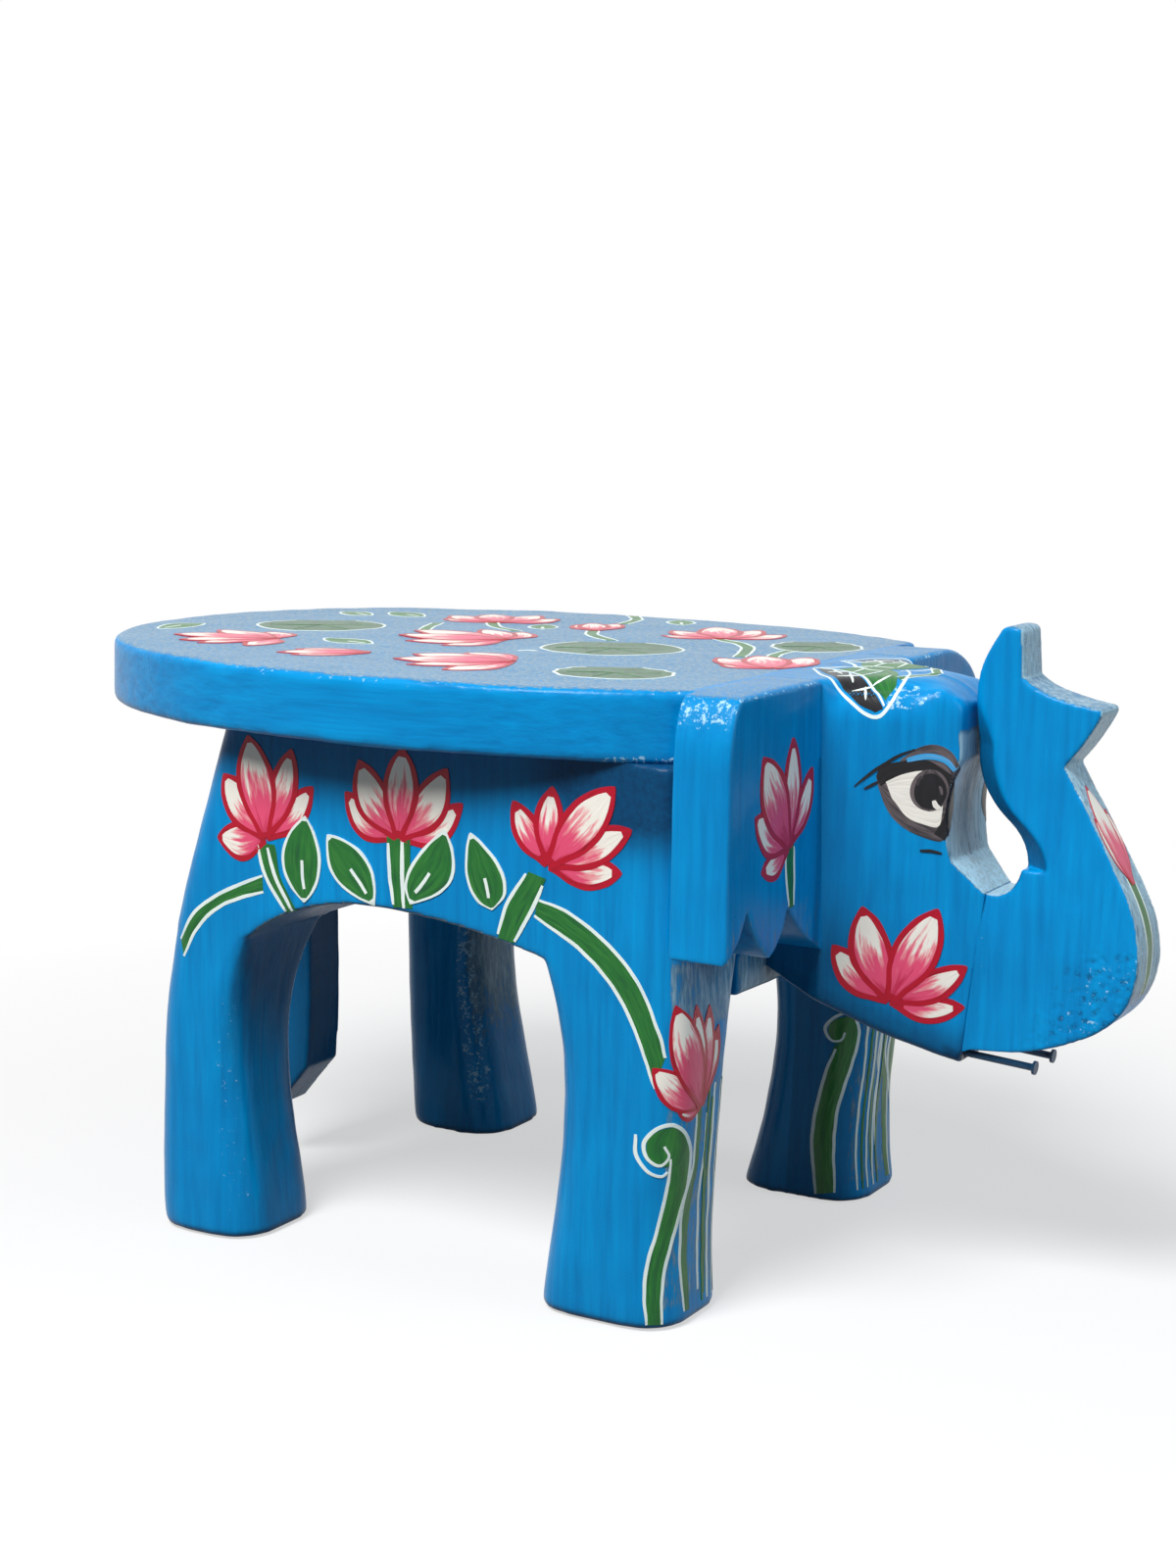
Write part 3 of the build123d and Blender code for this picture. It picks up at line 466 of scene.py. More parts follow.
def round_crown(points):
    """Carves the crown's side edges round, most of all halfway along them, by moving the points."""
    x, y, z = points.T
    inside = -((x - HEAD_CORNER[0]) * HEAD_OUT[0] + (-abs(y) - HEAD_CORNER[1]) * HEAD_OUT[1])
    over_z = np.maximum(CROWN_R - (CROWN_TOP_Z - z), 0)
    over_side = np.maximum(CROWN_R - np.maximum(inside, 0), 0)
    length = np.hypot(over_z, over_side)
    outside = (length > CROWN_R) & (over_z > 0) & (over_side > 0)
    excess = np.where(outside, 1 - CROWN_R / np.maximum(length, TINY), 0)
    excess *= between(x / MM, *CROWN_X, CROWN_FADE)
    x -= excess * over_side * HEAD_OUT[0]
    y += excess * over_side * HEAD_OUT[1] * np.sign(y)
    z -= excess * over_z


def fill_throat(points, normals):
    """Swells the trunk's sides beside the head, so that the head runs into it without a step."""
    x, y, z = points.T
    joint = THROAT[0] + (z - THROAT[1]) * THROAT_LEAN
    swell = THROAT_SWELL * np.clip(1 - (x - joint) / THROAT_BLEND, 0, 1) ** 3 * fall(z, *THROAT_FADE_Z)
    y += np.sign(y) * swell * rise(abs(normals[:, 1]), 0.3, 0.7)


def carve(node):
    """Gives a wooden piece softened edges, the waves, tool marks and pits of hand carving, and its enamel."""
    cell, rounds = WOOD[node]
    piece = even_quads(node, cell * MM)
    mesh = piece.data
    neighbours = surface(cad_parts[other].data for other in WOOD if other != node)
    points = get_rows(mesh.vertices, "co")
    edges = get_rows(mesh.edges, "vertices", 2, np.int32)
    found = (neighbours.find_nearest(point, JOINT_REACH) for point in points)
    gap = np.array([distance if place else JOINT_REACH for place, _, _, distance in found])
    free = rise(gap, 0.1 * JOINT_REACH, JOINT_REACH)
    points = soften(points, edges, free, rounds)
    points = soften(points, edges, free * fall(points[:, 2], 0.3 * FOOT_SOFT_Z, FOOT_SOFT_Z), FOOT_ROUNDS)
    if node.endswith("head_half"):
        round_crown(points)
        brow = rise(points[:, 0], *BROW_X) * rise(points[:, 2], *BROW_Z)
        points = soften(points, edges, free * brow, BROW_ROUNDS)
    if node == "trunk_board":
        fill_throat(points, get_rows(mesh.vertex_normals, "vector"))
    points[:, 2] = np.maximum(points[:, 2], 0)
    set_points(mesh, points)
    normals = get_rows(mesh.vertex_normals, "vector")
    marks = marks_and_painted_light(node, points, normals)
    free *= rise(points[:, 2], 0, FOOT_REACH)
    height = np.array([
        WAVE_HEIGHT * noise.noise(point / WAVE) + TOOL_HEIGHT * noise.noise(point / TOOL)
        for point in map(Vector, points)
    ])
    for i in np.flatnonzero(marks["pitted"] > 0.05):
        nearest = noise.voronoi(Vector(points[i]) / PIT)[0][0]
        height[i] -= PIT_DEPTH * marks["pitted"][i] * max(0.0, 1 - 2.2 * nearest)
    set_points(mesh, points + (free * height)[:, None] * normals)
    marks["lengthwise"] = rise(abs(normals[:, 2]), 0.7, 0.85)
    if node == "seat_board":
        marks["lengthwise"][:] = 1
    # The pits also get pale flecks, painted highlights on their rims
    marks["glints_and_flecks"] = most(marks["glints_and_flecks"], 0.45 * marks["pitted"])
    for name, values in marks.items():
        set_attribute(mesh, name, values)
    mesh.shade_smooth()
    mesh.set_sharp_from_angle(angle=SHARP_EDGE)
    mesh.materials.clear()
    mesh.materials.append(ENAMEL)
    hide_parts(node)
    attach(piece, "root")
    return piece


carved = {node: carve(node) for node in WOOD}

for node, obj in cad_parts.items():
    if node in WOOD:
        continue
    obj.data.materials.clear()
    obj.data.materials.append(NAIL_PAINT if node.endswith("tusk_nail") else PEG_WOOD)

WOOD_SURFACE = surface(piece.data for piece in carved.values())

# ---- Painted motifs ------------------------------------------------

CELL, SEAT_CELL = 1.0, 1.5      # mm, spacing of a film's points
FILM_LIFT = 0.06        # mm, of the first layer above the wood
LAYER_LIFT = 0.018      # mm, of each later layer over the one before
FILM_ROOT = 0.15        # mm, of a film's underside below the wood's surface
CAST_REACH = 40.0       # mm
BRUSH_TIP = 0.25        # mm, narrowest width of a stroke
WOBBLE, WOBBLE_LENGTH = 0.22, 5.0       # mm, of hand-painted edges
BOTTOM, LEAVES, LOTUSES, OVER_ALL = 0, 1, 4, 15     # layers on which motifs start
LEAF_RIM, STEM_RIM = 1.0, 1.1           # mm
BLADE_STEP = 0.8        # of a cell, between the rows of a petal or leaf
PAD_TEETH, PAD_NOTCH = 14, 0.16 * math.pi

noise.seed_set(1)       # without it noise_vector, which sways the edges, would differ from run to run


class Canvas:
    """A flat drawing plane before the wood, in mm; a mirrored one lies on the other side of the stool."""

    def __init__(self, origin, across, up, mirrored=False):
        self.origin = Vector(origin)
        self.across, self.up = Vector(across).normalized(), Vector(up).normalized()
        self.mirrored = mirrored

    def other_side(self):
        return Canvas(self.origin, self.across, self.up, not self.mirrored)

    def cast(self, u, v):
        """The place on the wood under a point of the canvas, and the wood's normal there."""
        out = self.across.cross(self.up)
        place = self.origin + u * self.across + v * self.up
        if self.mirrored:
            place.y, out.y = -place.y, -out.y
        hit, normal, _, _ = WOOD_SURFACE.ray_cast((place + CAST_REACH * out) * MM, -out, 2 * CAST_REACH * MM)
        if hit is None:
            hit, normal, _, _ = WOOD_SURFACE.find_nearest(place * MM)
        return np.array(hit), np.array(normal)


def smooth_curve(points, count):
    """Evenly spread points on a smooth curve through the given ones."""
    points = np.asarray(points, float)
    ends = np.vstack([2 * points[0] - points[1], points, 2 * points[-1] - points[-2]])
    fine = []
    for p0, p1, p2, p3 in zip(ends, ends[1:], ends[2:], ends[3:]):
        for t in np.linspace(0, 1, 12, endpoint=False):
            fine.append(0.5 * (2 * p1 + (p2 - p0) * t + (2 * p0 - 5 * p1 + 4 * p2 - p3) * t ** 2
                               + (3 * p1 - p0 - 3 * p2 + p3) * t ** 3))
    fine = np.array(fine + [points[-1]])
    reach = np.concatenate([[0], np.cumsum(np.linalg.norm(np.diff(fine, axis=0), axis=1))])
    spread = np.linspace(0, reach[-1], count)
    return np.stack([np.interp(spread, reach, fine[:, axis]) for axis in (0, 1)], axis=1)


def path_length(points):
    return float(np.linalg.norm(np.diff(np.asarray(points, float), axis=0), axis=1).sum())


def sideways(path):
    """Unit vectors across a path, to its right."""
    direction = np.gradient(path, axis=0)
    side = np.stack([direction[:, 1], -direction[:, 0]], axis=1)
    return side / np.maximum(np.linalg.norm(side, axis=1), TINY)[:, None]


class Painting:
    """Thin films of paint that lie on the wood, gathered into one object; a left one is a mirror image."""

    def __init__(self, name, left=False, cell=CELL):
        self.name, self.left, self.cell = name, left, cell
        self.random = random.Random(name)
        self.canvas, self.layer = None, BOTTOM
        self.points, self.faces, self.paints, self.along, self.strokes = [], [], [], [], []

    def turn_to(self, canvas):
        """Goes on with a drawing plane, on the painting's own side of the stool."""
        self.canvas = canvas.other_side() if self.left else canvas

    def row_count(self, *edges, step=1.0, least=3):
        """How many rows of points a film has along its longest edge."""
        return max(int(max(map(path_length, edges)) / (step * self.cell)) + 2, least)

    def grid(self, a, b, paint, start=0.0, end=1.0, shift=0.0):
        """One closed film between two edges of equally many points; start and end grade its colour."""
        across = b - a
        width = np.linalg.norm(across, axis=1)
        middle = (a + b) / 2
        side = sideways(middle)
        side *= np.sign((side * across).sum(axis=1) + TINY)[:, None]
        thin = (width < BRUSH_TIP)[:, None]
        a = np.where(thin, middle - side * BRUSH_TIP / 2, a)
        b = np.where(thin, middle + side * BRUSH_TIP / 2, b)
        rows, columns = len(a), max(int(width.max() / self.cell) + 2, 2)
        lift = (FILM_LIFT + LAYER_LIFT * self.layer) * MM
        length = path_length(middle)
        seed = self.random.uniform(0, 100)
        first = len(self.points)
        tops, roots = [], []
        for i in range(rows):
            for j in range(columns):
                share = j / (columns - 1)
                u, v = map(float, a[i] + (b[i] - a[i]) * share)
                sway = WOBBLE * Vector(noise.noise_vector((u / WOBBLE_LENGTH, v / WOBBLE_LENGTH, seed)))
                place, normal = self.canvas.cast(u + sway.x, v + sway.y)
                tops.append(place + lift * normal)
                roots.append(place - FILM_ROOT * MM * normal)
                self.along.append(start + (end - start) * i / (rows - 1) + shift)
                self.strokes.append((share * width.mean(), i / (rows - 1) * length, seed))
        under = rows * columns
        self.along += self.along[-under:]
        self.strokes += self.strokes[-under:]
        self.points += tops + roots

        def corner(i, j, low=0):
            return first + i * columns + j + low * under

        faces = []
        for i in range(rows - 1):
            for j in range(columns - 1):
                square = (corner(i, j), corner(i, j + 1), corner(i + 1, j + 1), corner(i + 1, j))
                faces += [square, tuple(k + under for k in reversed(square))]
        rim = [(0, j) for j in range(columns)] + [(i, columns - 1) for i in range(1, rows)]
        rim += [(rows - 1, j) for j in range(columns - 2, -1, -1)] + [(i, 0) for i in range(rows - 2, 0, -1)]
        for here, there in zip(rim, rim[1:] + rim[:1]):
            faces.append((corner(*there), corner(*here), corner(*here, 1), corner(*there, 1)))
        self.faces += faces
        self.paints += [paint] * len(faces)
        self.layer += 1

    def film(self, edge_a, edge_b, paint):
        """A film between two smooth edges, each given by a few points from the same end."""
        rows = self.row_count(edge_a, edge_b)
        self.grid(smooth_curve(edge_a, rows), smooth_curve(edge_b, rows), paint)

    def line(self, points, width, paint="white", tapered=0.35):
        """A brush line that starts and ends a little thinner."""
        rows = self.row_count(points)
        middle = smooth_curve(points, rows)
        t = np.linspace(0, 1, rows)
        half = width / 2 * (1 - tapered * np.abs(2 * t - 1) ** 3)[:, None] * sideways(middle)
        self.grid(middle - half, middle + half, paint)

    def blade(self, edge_a, edge_b, rim, fill, rim_width, shift=0.0):
        """A petal or leaf: a rim colour with an inset fill, between two edges from base to tip."""
        rows = self.row_count(edge_a, edge_b, step=BLADE_STEP, least=6)
        a, b = smooth_curve(edge_a, rows), smooth_curve(edge_b, rows)
        middle, half = (a + b) / 2, (b - a) / 2
        width = np.linalg.norm(half, axis=1)
        unit = half / np.maximum(width, TINY)[:, None]
        grown = unit * (width + 0.25 * rim_width)[:, None]
        self.grid(middle - grown, middle + grown, rim)
        inside = np.flatnonzero(width > rim_width + BRUSH_TIP)
        if len(inside) < 3:
            return
        start, end = inside[0], inside[-1]
        inner = unit * (width - 0.75 * rim_width)[:, None]
        a, b = (middle - inner)[start:end + 1], (middle + inner)[start:end + 1]
        self.grid(a, b, fill, start / rows, end / rows, shift)

    def petal(self, base, tip, share, bend, shift, rim_width):
        """A lotus petal from the flower's base to its tip; share widens it and bend curves it sideways."""
        axis = np.array(tip, float) - base
        side = np.array([axis[1], -axis[0]])
        t = np.linspace(0, 1, 8)[:, None]
        middle = base + axis * t + side * bend * np.sin(math.pi * t)
        half = side * share / 2 * np.sin(math.pi * t ** 1.05) ** 0.8
        half[0] = side * share * 0.12
        half[-1] = 0
        self.blade(middle - half, middle + half, "rim", "petal", rim_width, shift)

    def lotus(self, base, petals, rim_width=1.8, cup=0.08):
        """A lotus: petals from one base in the order of painting, each the place of its tip and its share."""
        self.layer = LOTUSES
        heart = np.mean([petal[:2] for petal in petals], axis=0) - base
        for *tip, share in petals:
            axis = np.array(tip) - base
            turn = heart[0] * axis[1] - heart[1] * axis[0]
            bend = -cup * turn / (np.linalg.norm(heart) * np.linalg.norm(axis))
            self.petal(base, tip, share, bend, self.random.uniform(-0.10, 0.08), rim_width)

    def leaf(self, base, tip, left, right, layer=LEAVES):
        """A pointed green leaf with a white rim and the start of a midrib."""
        self.layer = layer
        base = np.array(base, float)
        axis, left, right = (np.array(point, float) - base for point in (tip, left, right))
        t = np.linspace(0, 1, 9)[:, None]
        edges = []
        for belly in (left, right):
            place = min(max(float(belly @ axis / (axis @ axis)), 0.25), 0.75)
            swell = np.sin(math.pi * t ** (math.log(0.5) / math.log(place))) ** 0.85
            edges.append(base + axis * t + swell * (belly - place * axis))
        self.blade(*edges, "white", "green", LEAF_RIM)
        belly = (left + right) / 2
        self.line([base + 0.16 * axis, base + 0.30 * belly + 0.10 * axis, base + 0.8 * belly + 0.10 * axis],
                  1.1, tapered=0.1)

    def stem(self, edge_a, edge_b):
        """A green stem between two white lines."""
        self.layer = BOTTOM
        self.film(edge_a, edge_b, "green")
        self.line(edge_a, STEM_RIM)
        self.line(edge_b, STEM_RIM)

    def twig(self, points, width):
        """A narrow stem round a centre line."""
        self.layer = BOTTOM
        self.line(points, width, "green", 0.1)
        for side in (-1, 1):
            self.line([(u + side * 0.55 * width, v) for u, v in points], 0.25 * width)

    def disc(self, centre, radius, paint, flat):
        """A round spot, made taller or lower by flat."""
        turns = np.linspace(0, math.pi, 9)
        halves = [[(centre[0] + side * radius * math.sin(t), centre[1] + flat * radius * math.cos(t))
                   for t in turns] for side in (-1, 1)]
        self.film(*halves, paint)

    def pad(self, centre, radius, flat, serrated):
        """A round lotus leaf with a notch, veins and a pale rim."""
        def spot(turn, reach):
            reach *= radius
            return centre[0] + reach * math.sin(turn), centre[1] + flat * reach * math.cos(turn)

        turns = np.linspace(PAD_NOTCH, 2 * math.pi - PAD_NOTCH, 25)
        rim = [spot(turn, 1 + serrated * math.sin(PAD_TEETH * turn)) for turn in turns]
        half = len(rim) // 2
        notch = (centre[0] + 0.05 * radius, centre[1] + 0.25 * flat * radius)
        self.layer = BOTTOM
        self.film([notch] + rim[:half + 1], [notch] + rim[:half - 1:-1], "pad")
        self.line(rim, 1.0, tapered=0.2)
        for vein in (0.45, 0.8, 1.15, 1.5):
            self.line([centre, spot(vein * math.pi, 0.8)], 0.7, "green", tapered=0.6)

    def finish(self):
        mesh = bpy.data.meshes.new(self.name)
        mesh.from_pydata(self.points, [], self.faces)
        used = sorted(set(self.paints))
        for paint in used:
            mesh.materials.append(PAINTS[paint])
        mesh.polygons.foreach_set("material_index", [used.index(paint) for paint in self.paints])
        set_attribute(mesh, "along", self.along)
        strokes = mesh.attributes.new("stroke", "FLOAT_VECTOR", "POINT")
        strokes.data.foreach_set("vector", np.array(self.strokes, np.float32).ravel())
        tidy = bmesh.new()
        tidy.from_mesh(mesh)
        bmesh.ops.recalc_face_normals(tidy, faces=tidy.faces)
        tidy.to_mesh(mesh)
        tidy.free()
        mesh.shade_smooth()
        mesh.set_sharp_from_angle(angle=SHARP_EDGE)
        piece = new_object(self.name, mesh)
        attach(piece, "root")


# Drawing planes: u and v in mm
FLANK = Canvas((0, -85, 0), (1, 0, 0), (0, 0, 1))
LEG_CORNER = Canvas((65.9, -85, 0), (1, 1, 0), (0, 0, 1))
INNER_CORNER = Canvas((65.9, 47, 0), (1, 1, 0), (0, 0, 1), mirrored=True)
EAR_FRONT = Canvas((83.4, 0, 0), (0, 1, 0), (0, 0, 1))
HEAD_ACROSS = (0.903, 0.430, 0)
HEAD_SIDE = Canvas((83.4, -30.5, 0), HEAD_ACROSS, (0, 0, 1))
HEAD_TOP = Canvas((83.4, -30.5, 180), HEAD_ACROSS, (-0.304, 0.639, 0.707))
NAIL_ENTRY = Canvas((120.6, 0, 72), (0, 1, 0), (0.87, 0, 0.5))
TRUNK_FRONT = Canvas((170, 0, 0), (0, 1, 0), (0, 0, 1))
SEAT_TOP = Canvas((0, 0, 180), (0.867, 0.498, 0), (-0.498, 0.867, 0))
RUMP = Canvas((-106, 0, 0), (0, -1, 0), (0, 0, 1))


def paint_flank(art):
    """Three lotuses on stems over the belly arch, with leaves between them and a branch to each leg."""
    art.turn_to(FLANK)
    art.stem([(-72.4, 115.6), (-84.1, 110.6), (-93.4, 105.3), (-99.5, 100), (-104, 92.5)],
             [(-72.1, 110.6), (-81.5, 107.7), (-90.8, 102.9), (-97.5, 96.2), (-102.5, 87.5)])
    art.stem([(22.8, 119.3), (33.3, 116.4), (46, 108.8), (55.6, 98.9), (61.2, 87.1), (62.9, 79.6)],
             [(21.6, 114.6), (35, 107.6), (46.2, 98.6), (53.4, 88.1), (57.5, 78.8), (60.4, 70.7)])
    art.film([(-74.5, 125.4), (-71.4, 115.7), (-63.5, 104.6)],
             [(-67.6, 125.4), (-65.6, 115.7), (-59.6, 105.4)], "green")
    art.line([(-74.3, 125.4), (-71.2, 115.7), (-63.5, 105)], 1.2)
    art.line([(-70.3, 124.3), (-67.6, 116.1), (-61.8, 106.2)], 1.3)
    art.film([(-28, 132), (-27.2, 121), (-25.4, 111.6)],
             [(-19.6, 132), (-19.4, 121), (-18.8, 111.9)], "green")
    art.line([(-27.4, 130.2), (-26.8, 121), (-25.5, 112.4)], 1.2)
    art.line([(-22.4, 132), (-22.4, 121), (-21.8, 111.8)], 1.4)
    art.film([(19.9, 126.9), (13, 116.9), (9.8, 106.8)], [(25.4, 125.4), (20.8, 117), (14.9, 106)], "green")
    art.line([(18.9, 126.2), (12.7, 116.9), (9.9, 108)], 1.1)
    art.line([(24.3, 123.4), (20.4, 115.4), (15.2, 106.6)], 1.2)
    art.lotus((-70.9, 127.4), [(-89, 125.6, 0.62), (-53.8, 144, 0.36), (-86.6, 145, 0.5),
                               (-61.2, 154.6, 0.34), (-77, 157.4, 0.44)], cup=0.07)
    art.lotus((-23.7, 132), [(-42.6, 143.5, 0.44), (-2, 144, 0.36), (-37.6, 153.4, 0.46),
                               (-7.1, 153.6, 0.42), (-22.2, 158.4, 0.44)], cup=0.14)
    art.lotus((26.3, 129.6), [(49.4, 129.6, 0.4), (14.6, 146.4, 0.42), (52.2, 142, 0.34),
                              (27.2, 151.8, 0.4), (47, 153.4, 0.38)], cup=0.04)
    for points in (((-57.1, 109.2), (-56.6, 135.3), (-64.8, 122), (-51.3, 121.5)),
                   ((-32, 111.4), (-48.7, 130.4), (-46, 117.6), (-35.2, 124.8)),
                   ((-19.6, 113.3), (-7.6, 136.2), (-19.6, 123.6), (-5.6, 121.6)),
                   ((8, 114.6), (0.6, 136), (0, 121.4), (11.8, 124.6))):
        art.leaf(*points, layer=OVER_ALL)


def paint_leg_corner(art):
    """A lotus at the top of the front leg's corner, over a long thin stem and a curled one."""
    art.turn_to(LEG_CORNER)
    art.film([(10.2, 64), (9.6, 47), (6.2, 35), (5.7, 22), (6.4, 13.5), (7.6, 4)],
             [(12.4, 64), (11.6, 47), (9.2, 35), (8.4, 22), (9, 13.5), (9.8, 4)], "green")
    art.line([(10.2, 64), (9.6, 47), (6, 35), (5.6, 22), (6.3, 13.5), (7.6, 4)], 0.9)
    art.line([(14.6, 60), (14, 47), (12.6, 38), (12.8, 25), (13.2, 8)], 0.9)
    art.line([(16.6, 64), (16, 47), (15, 35), (15.6, 21), (15.8, 6)], 1, "green")
    art.film([(0.8, 54), (1.4, 47.9), (0.2, 38.4), (-2, 28.5), (-4.3, 19.7), (-4.9, 11), (-4, 2)],
             [(7.8, 52), (7.4, 42.1), (5.2, 34.9), (2.6, 25.8), (0.8, 19.3), (-0.2, 10.8), (0.2, 2)],
             "green")
    art.film([(1.2, 59.6), (-1.8, 58.8), (-4.8, 56), (-5, 52), (-2.4, 48.6), (0.6, 48.8)],
             [(2.8, 59.6), (5.6, 57.4), (7.8, 53.6), (6.6, 50), (4.2, 48.4), (1.2, 48.6)], "green")
    art.line([(1.4, 50.4), (1.3, 46.4), (0.1, 38.4), (-2.1, 28.5), (-4.4, 19.7), (-5, 11), (-4.1, 2)], 1)
    art.line([(0.2, 2), (-0.1, 10.8), (0.9, 19.3), (2.7, 25.8), (5.3, 34.9), (7.6, 42.1), (8.1, 51),
              (6, 57), (1.6, 60.2), (-3, 59), (-5.8, 55), (-5, 50.6), (-1.6, 48.6),
              (1, 51), (-0.6, 54.2)], 1.1)
    art.line([(-7.8, 57), (-7.6, 51.4), (-5, 47), (-1.2, 45.4), (0.6, 46.6)], 0.9)
    art.lotus((11.8, 63), [(3, 63.6, 0.5), (-4.2, 76.6, 0.44), (18.4, 84.6, 0.2),
                             (14.2, 91.4, 0.2), (8.6, 93, 0.2), (1.4, 94.4, 0.32)], rim_width=1.1)


def paint_inner_leg(art):
    """The same curled stem on the inner corner of the front leg, with thin stems beside it."""
    art.turn_to(INNER_CORNER)
    art.film([(-7, 51.4), (-9.7, 40.7), (-11.8, 30.5), (-13, 18), (-12.2, 2.3)],
             [(-0.6, 54), (-1.6, 46.1), (-5.8, 31.6), (-7.2, 19.1), (-7.1, 3.6)], "green")
    art.film([(-3.2, 62), (-7.4, 59.6), (-8.8, 56), (-7, 52)],
             [(-2.4, 62), (-0.2, 59), (0, 55.6), (-0.8, 52)], "green")
    art.line([(-6.6, 50.4), (-9.7, 40.7), (-11.8, 30.5), (-13, 18), (-12.2, 2.3)], 0.9)
    art.line([(-7.1, 3.6), (-7.2, 19.1), (-5.8, 31.6), (-1.6, 46.1), (0, 56), (-2.6, 62.4),
              (-7, 61.2), (-9.4, 57), (-8, 53.2), (-5.2, 53.4), (-4.4, 56)], 1)
    for u, paint in ((2, "white"), (4.2, "green"), (6.2, "white"), (9.2, "white"), (11.4, "green")):
        art.line([(u + 1.2, 68), (u + 0.8, 46), (u - 1, 30), (u - 1.8, 16), (u - 1.4, 4)], 0.9, paint)


def paint_ear(art):
    """A half-turned lotus on the front of the ear."""
    art.turn_to(EAR_FRONT)
    art.film([(-53.4, 137), (-52.2, 127), (-50.7, 117.6)],
             [(-48.3, 137), (-47.6, 127), (-47.3, 117.8)], "green")
    art.line([(-53.6, 137), (-52.4, 127), (-50.5, 118.3)], 1)
    art.line([(-48.2, 135), (-47.6, 127), (-47.4, 118.2)], 1)
    art.lotus((-51.6, 135.4), [(-68.6, 130.6, 0.44), (-37.6, 156, 0.34), (-73, 146.5, 0.48),
                               (-51.4, 166, 0.34), (-69.4, 162.6, 0.46)])


def paint_head(art):
    """The eye, the cheek's lotus, the leaf that folds over the crown, and dark paint round the nail."""
    art.turn_to(HEAD_SIDE)
    art.lotus((20.8, 87.6), [
        (42, 86.4, 0.36), (4, 103.2, 0.4), (42.4, 98.4, 0.36), (12.2, 115, 0.4), (33.6, 115, 0.42)])
    art.layer = BOTTOM
    art.film([(21.6, 157.6), (26.1, 161), (31, 162.1), (36, 159.9), (38.6, 154.8)],
             [(22.8, 156), (26.5, 156.4), (29.5, 156), (33.8, 154.6), (36.4, 150.8)], "lid")
    art.film([(14.9, 152.7), (16.4, 155.3), (22.9, 157.3), (29.5, 157.3), (36.6, 153.2)],
             [(15.6, 149.6), (19, 141.9), (25.2, 136.9), (32.7, 134.4), (35.9, 136)], "lid")
    art.film([(14.9, 152.7), (16.4, 155.6), (22.9, 157.4), (29.5, 157.4), (36.2, 153.4)],
             [(16.3, 149.8), (21.4, 152.9), (27, 154.5), (32, 154.2), (34.6, 151.2)], "black")
    art.film([(34.4, 153.8), (34.8, 147), (34.2, 141), (31.6, 136.6)],
             [(36.9, 152.8), (37, 145), (36.3, 138), (34.6, 134.6)], "black")
    art.film([(17.6, 151.2), (21.4, 153), (27.6, 154.6), (32.4, 153.4), (34.2, 150)],
             [(19.6, 146.4), (23.6, 141.6), (28.4, 139.2), (32.8, 138.6), (33.8, 143)], "cream")
    art.disc((30, 149), 5.4, "lid", 1.12)
    art.disc((30.2, 148.7), 4.6, "black", 1.12)
    art.line([(26.6, 150.4), (26.9, 152.2), (28, 152.9)], 0.9, "lid")
    art.line([(32.7, 150.3), (33.2, 149.2), (33.3, 147.8)], 0.9, "lid")
    art.line([(31.3, 146.2), (32, 144.6), (33.2, 143.8)], 1.5, "cream")
    art.line([(23.4, 157.4), (28.6, 158.8), (34, 157.7), (36.9, 154.8)], 1.7, "sky")
    art.line([(8.8, 149.6), (14.8, 154.8), (21.3, 158.7), (25.5, 160.6)], 0.9, "black", 0.8)
    art.line([(11.7, 149.1), (15.7, 151.3)], 0.8, "black", 0.6)
    art.line([(27.9, 131.6), (31, 131.6), (34.1, 130.9)], 0.8, "black", 0.5)
    art.turn_to(HEAD_TOP)
    art.layer = BOTTOM
    art.film([(-1.6, 17), (4, 13.6), (10, 6.4), (13.6, -1), (16.4, -6.2)],
             [(-1.2, 13.5), (1.2, 7.6), (4.8, 0.4), (9, -4.8), (14, -7.2)], "black")
    art.film([(4.2, 16.5), (10.6, 19.6), (17, 20), (20.8, 12), (20, 2)],
             [(4.8, 13.6), (9, 10), (12, 5), (14.8, -0.6), (17, -4)], "green")
    art.line([(-3.4, 16.5), (-1.4, 8), (2.4, 0.4), (6.4, -4), (11.1, -7.4), (15.6, -7.9), (19.1, -3.4),
              (22.4, 4.4), (24.2, 11.8), (23.8, 17.5)], 0.95)
    art.line([(-3.2, 17.6), (3, 18.6), (9, 20.6), (15.6, 21.6), (20.4, 20.4)], 0.8)
    art.line([(-1, 17), (4.8, 14), (10.4, 7.6), (13.4, 1.2), (16.6, -5.4)], 0.8)
    for start, end in (((1, 11), (7, 12)), ((3.4, 5.4), (10.4, 7.2)), ((7.6, -0.6), (13.2, 1.2)),
                       ((8, 11.4), (12.4, 18.4)), ((10.8, 7.4), (17.2, 14.4)), ((13.4, 1.6), (19, 8)),
                       ((2.4, 14.2), (5, 8)), ((7, 9.4), (7.8, 2.6)), ((11.4, 1.2), (11.4, -3.8))):
        art.line([start, end], 0.75, tapered=0.8)
    art.twig([(32.4, 23), (32.4, 18), (32.4, 13)], 2.4)
    art.turn_to(NAIL_ENTRY)
    art.disc((7.5, -0.5), 2.8, "black", 0.8)


def paint_trunk(art):
    """A pink bud on a stem up the front of the trunk."""
    art.turn_to(TRUNK_FRONT)
    art.film([(-2.2, 128), (-2.2, 110), (-1.6, 94)], [(2, 128), (2.2, 110), (1.6, 94)], "green")
    art.line([(-2.4, 127), (-2.4, 110), (-1.8, 94)], 0.8)
    art.line([(2.2, 127), (2.4, 110), (1.8, 94)], 0.8)
    art.lotus((0.6, 125), [(-5.2, 143.5, 0.34), (5, 144.5, 0.34), (-0.4, 151.5, 0.36)], rim_width=0.5)


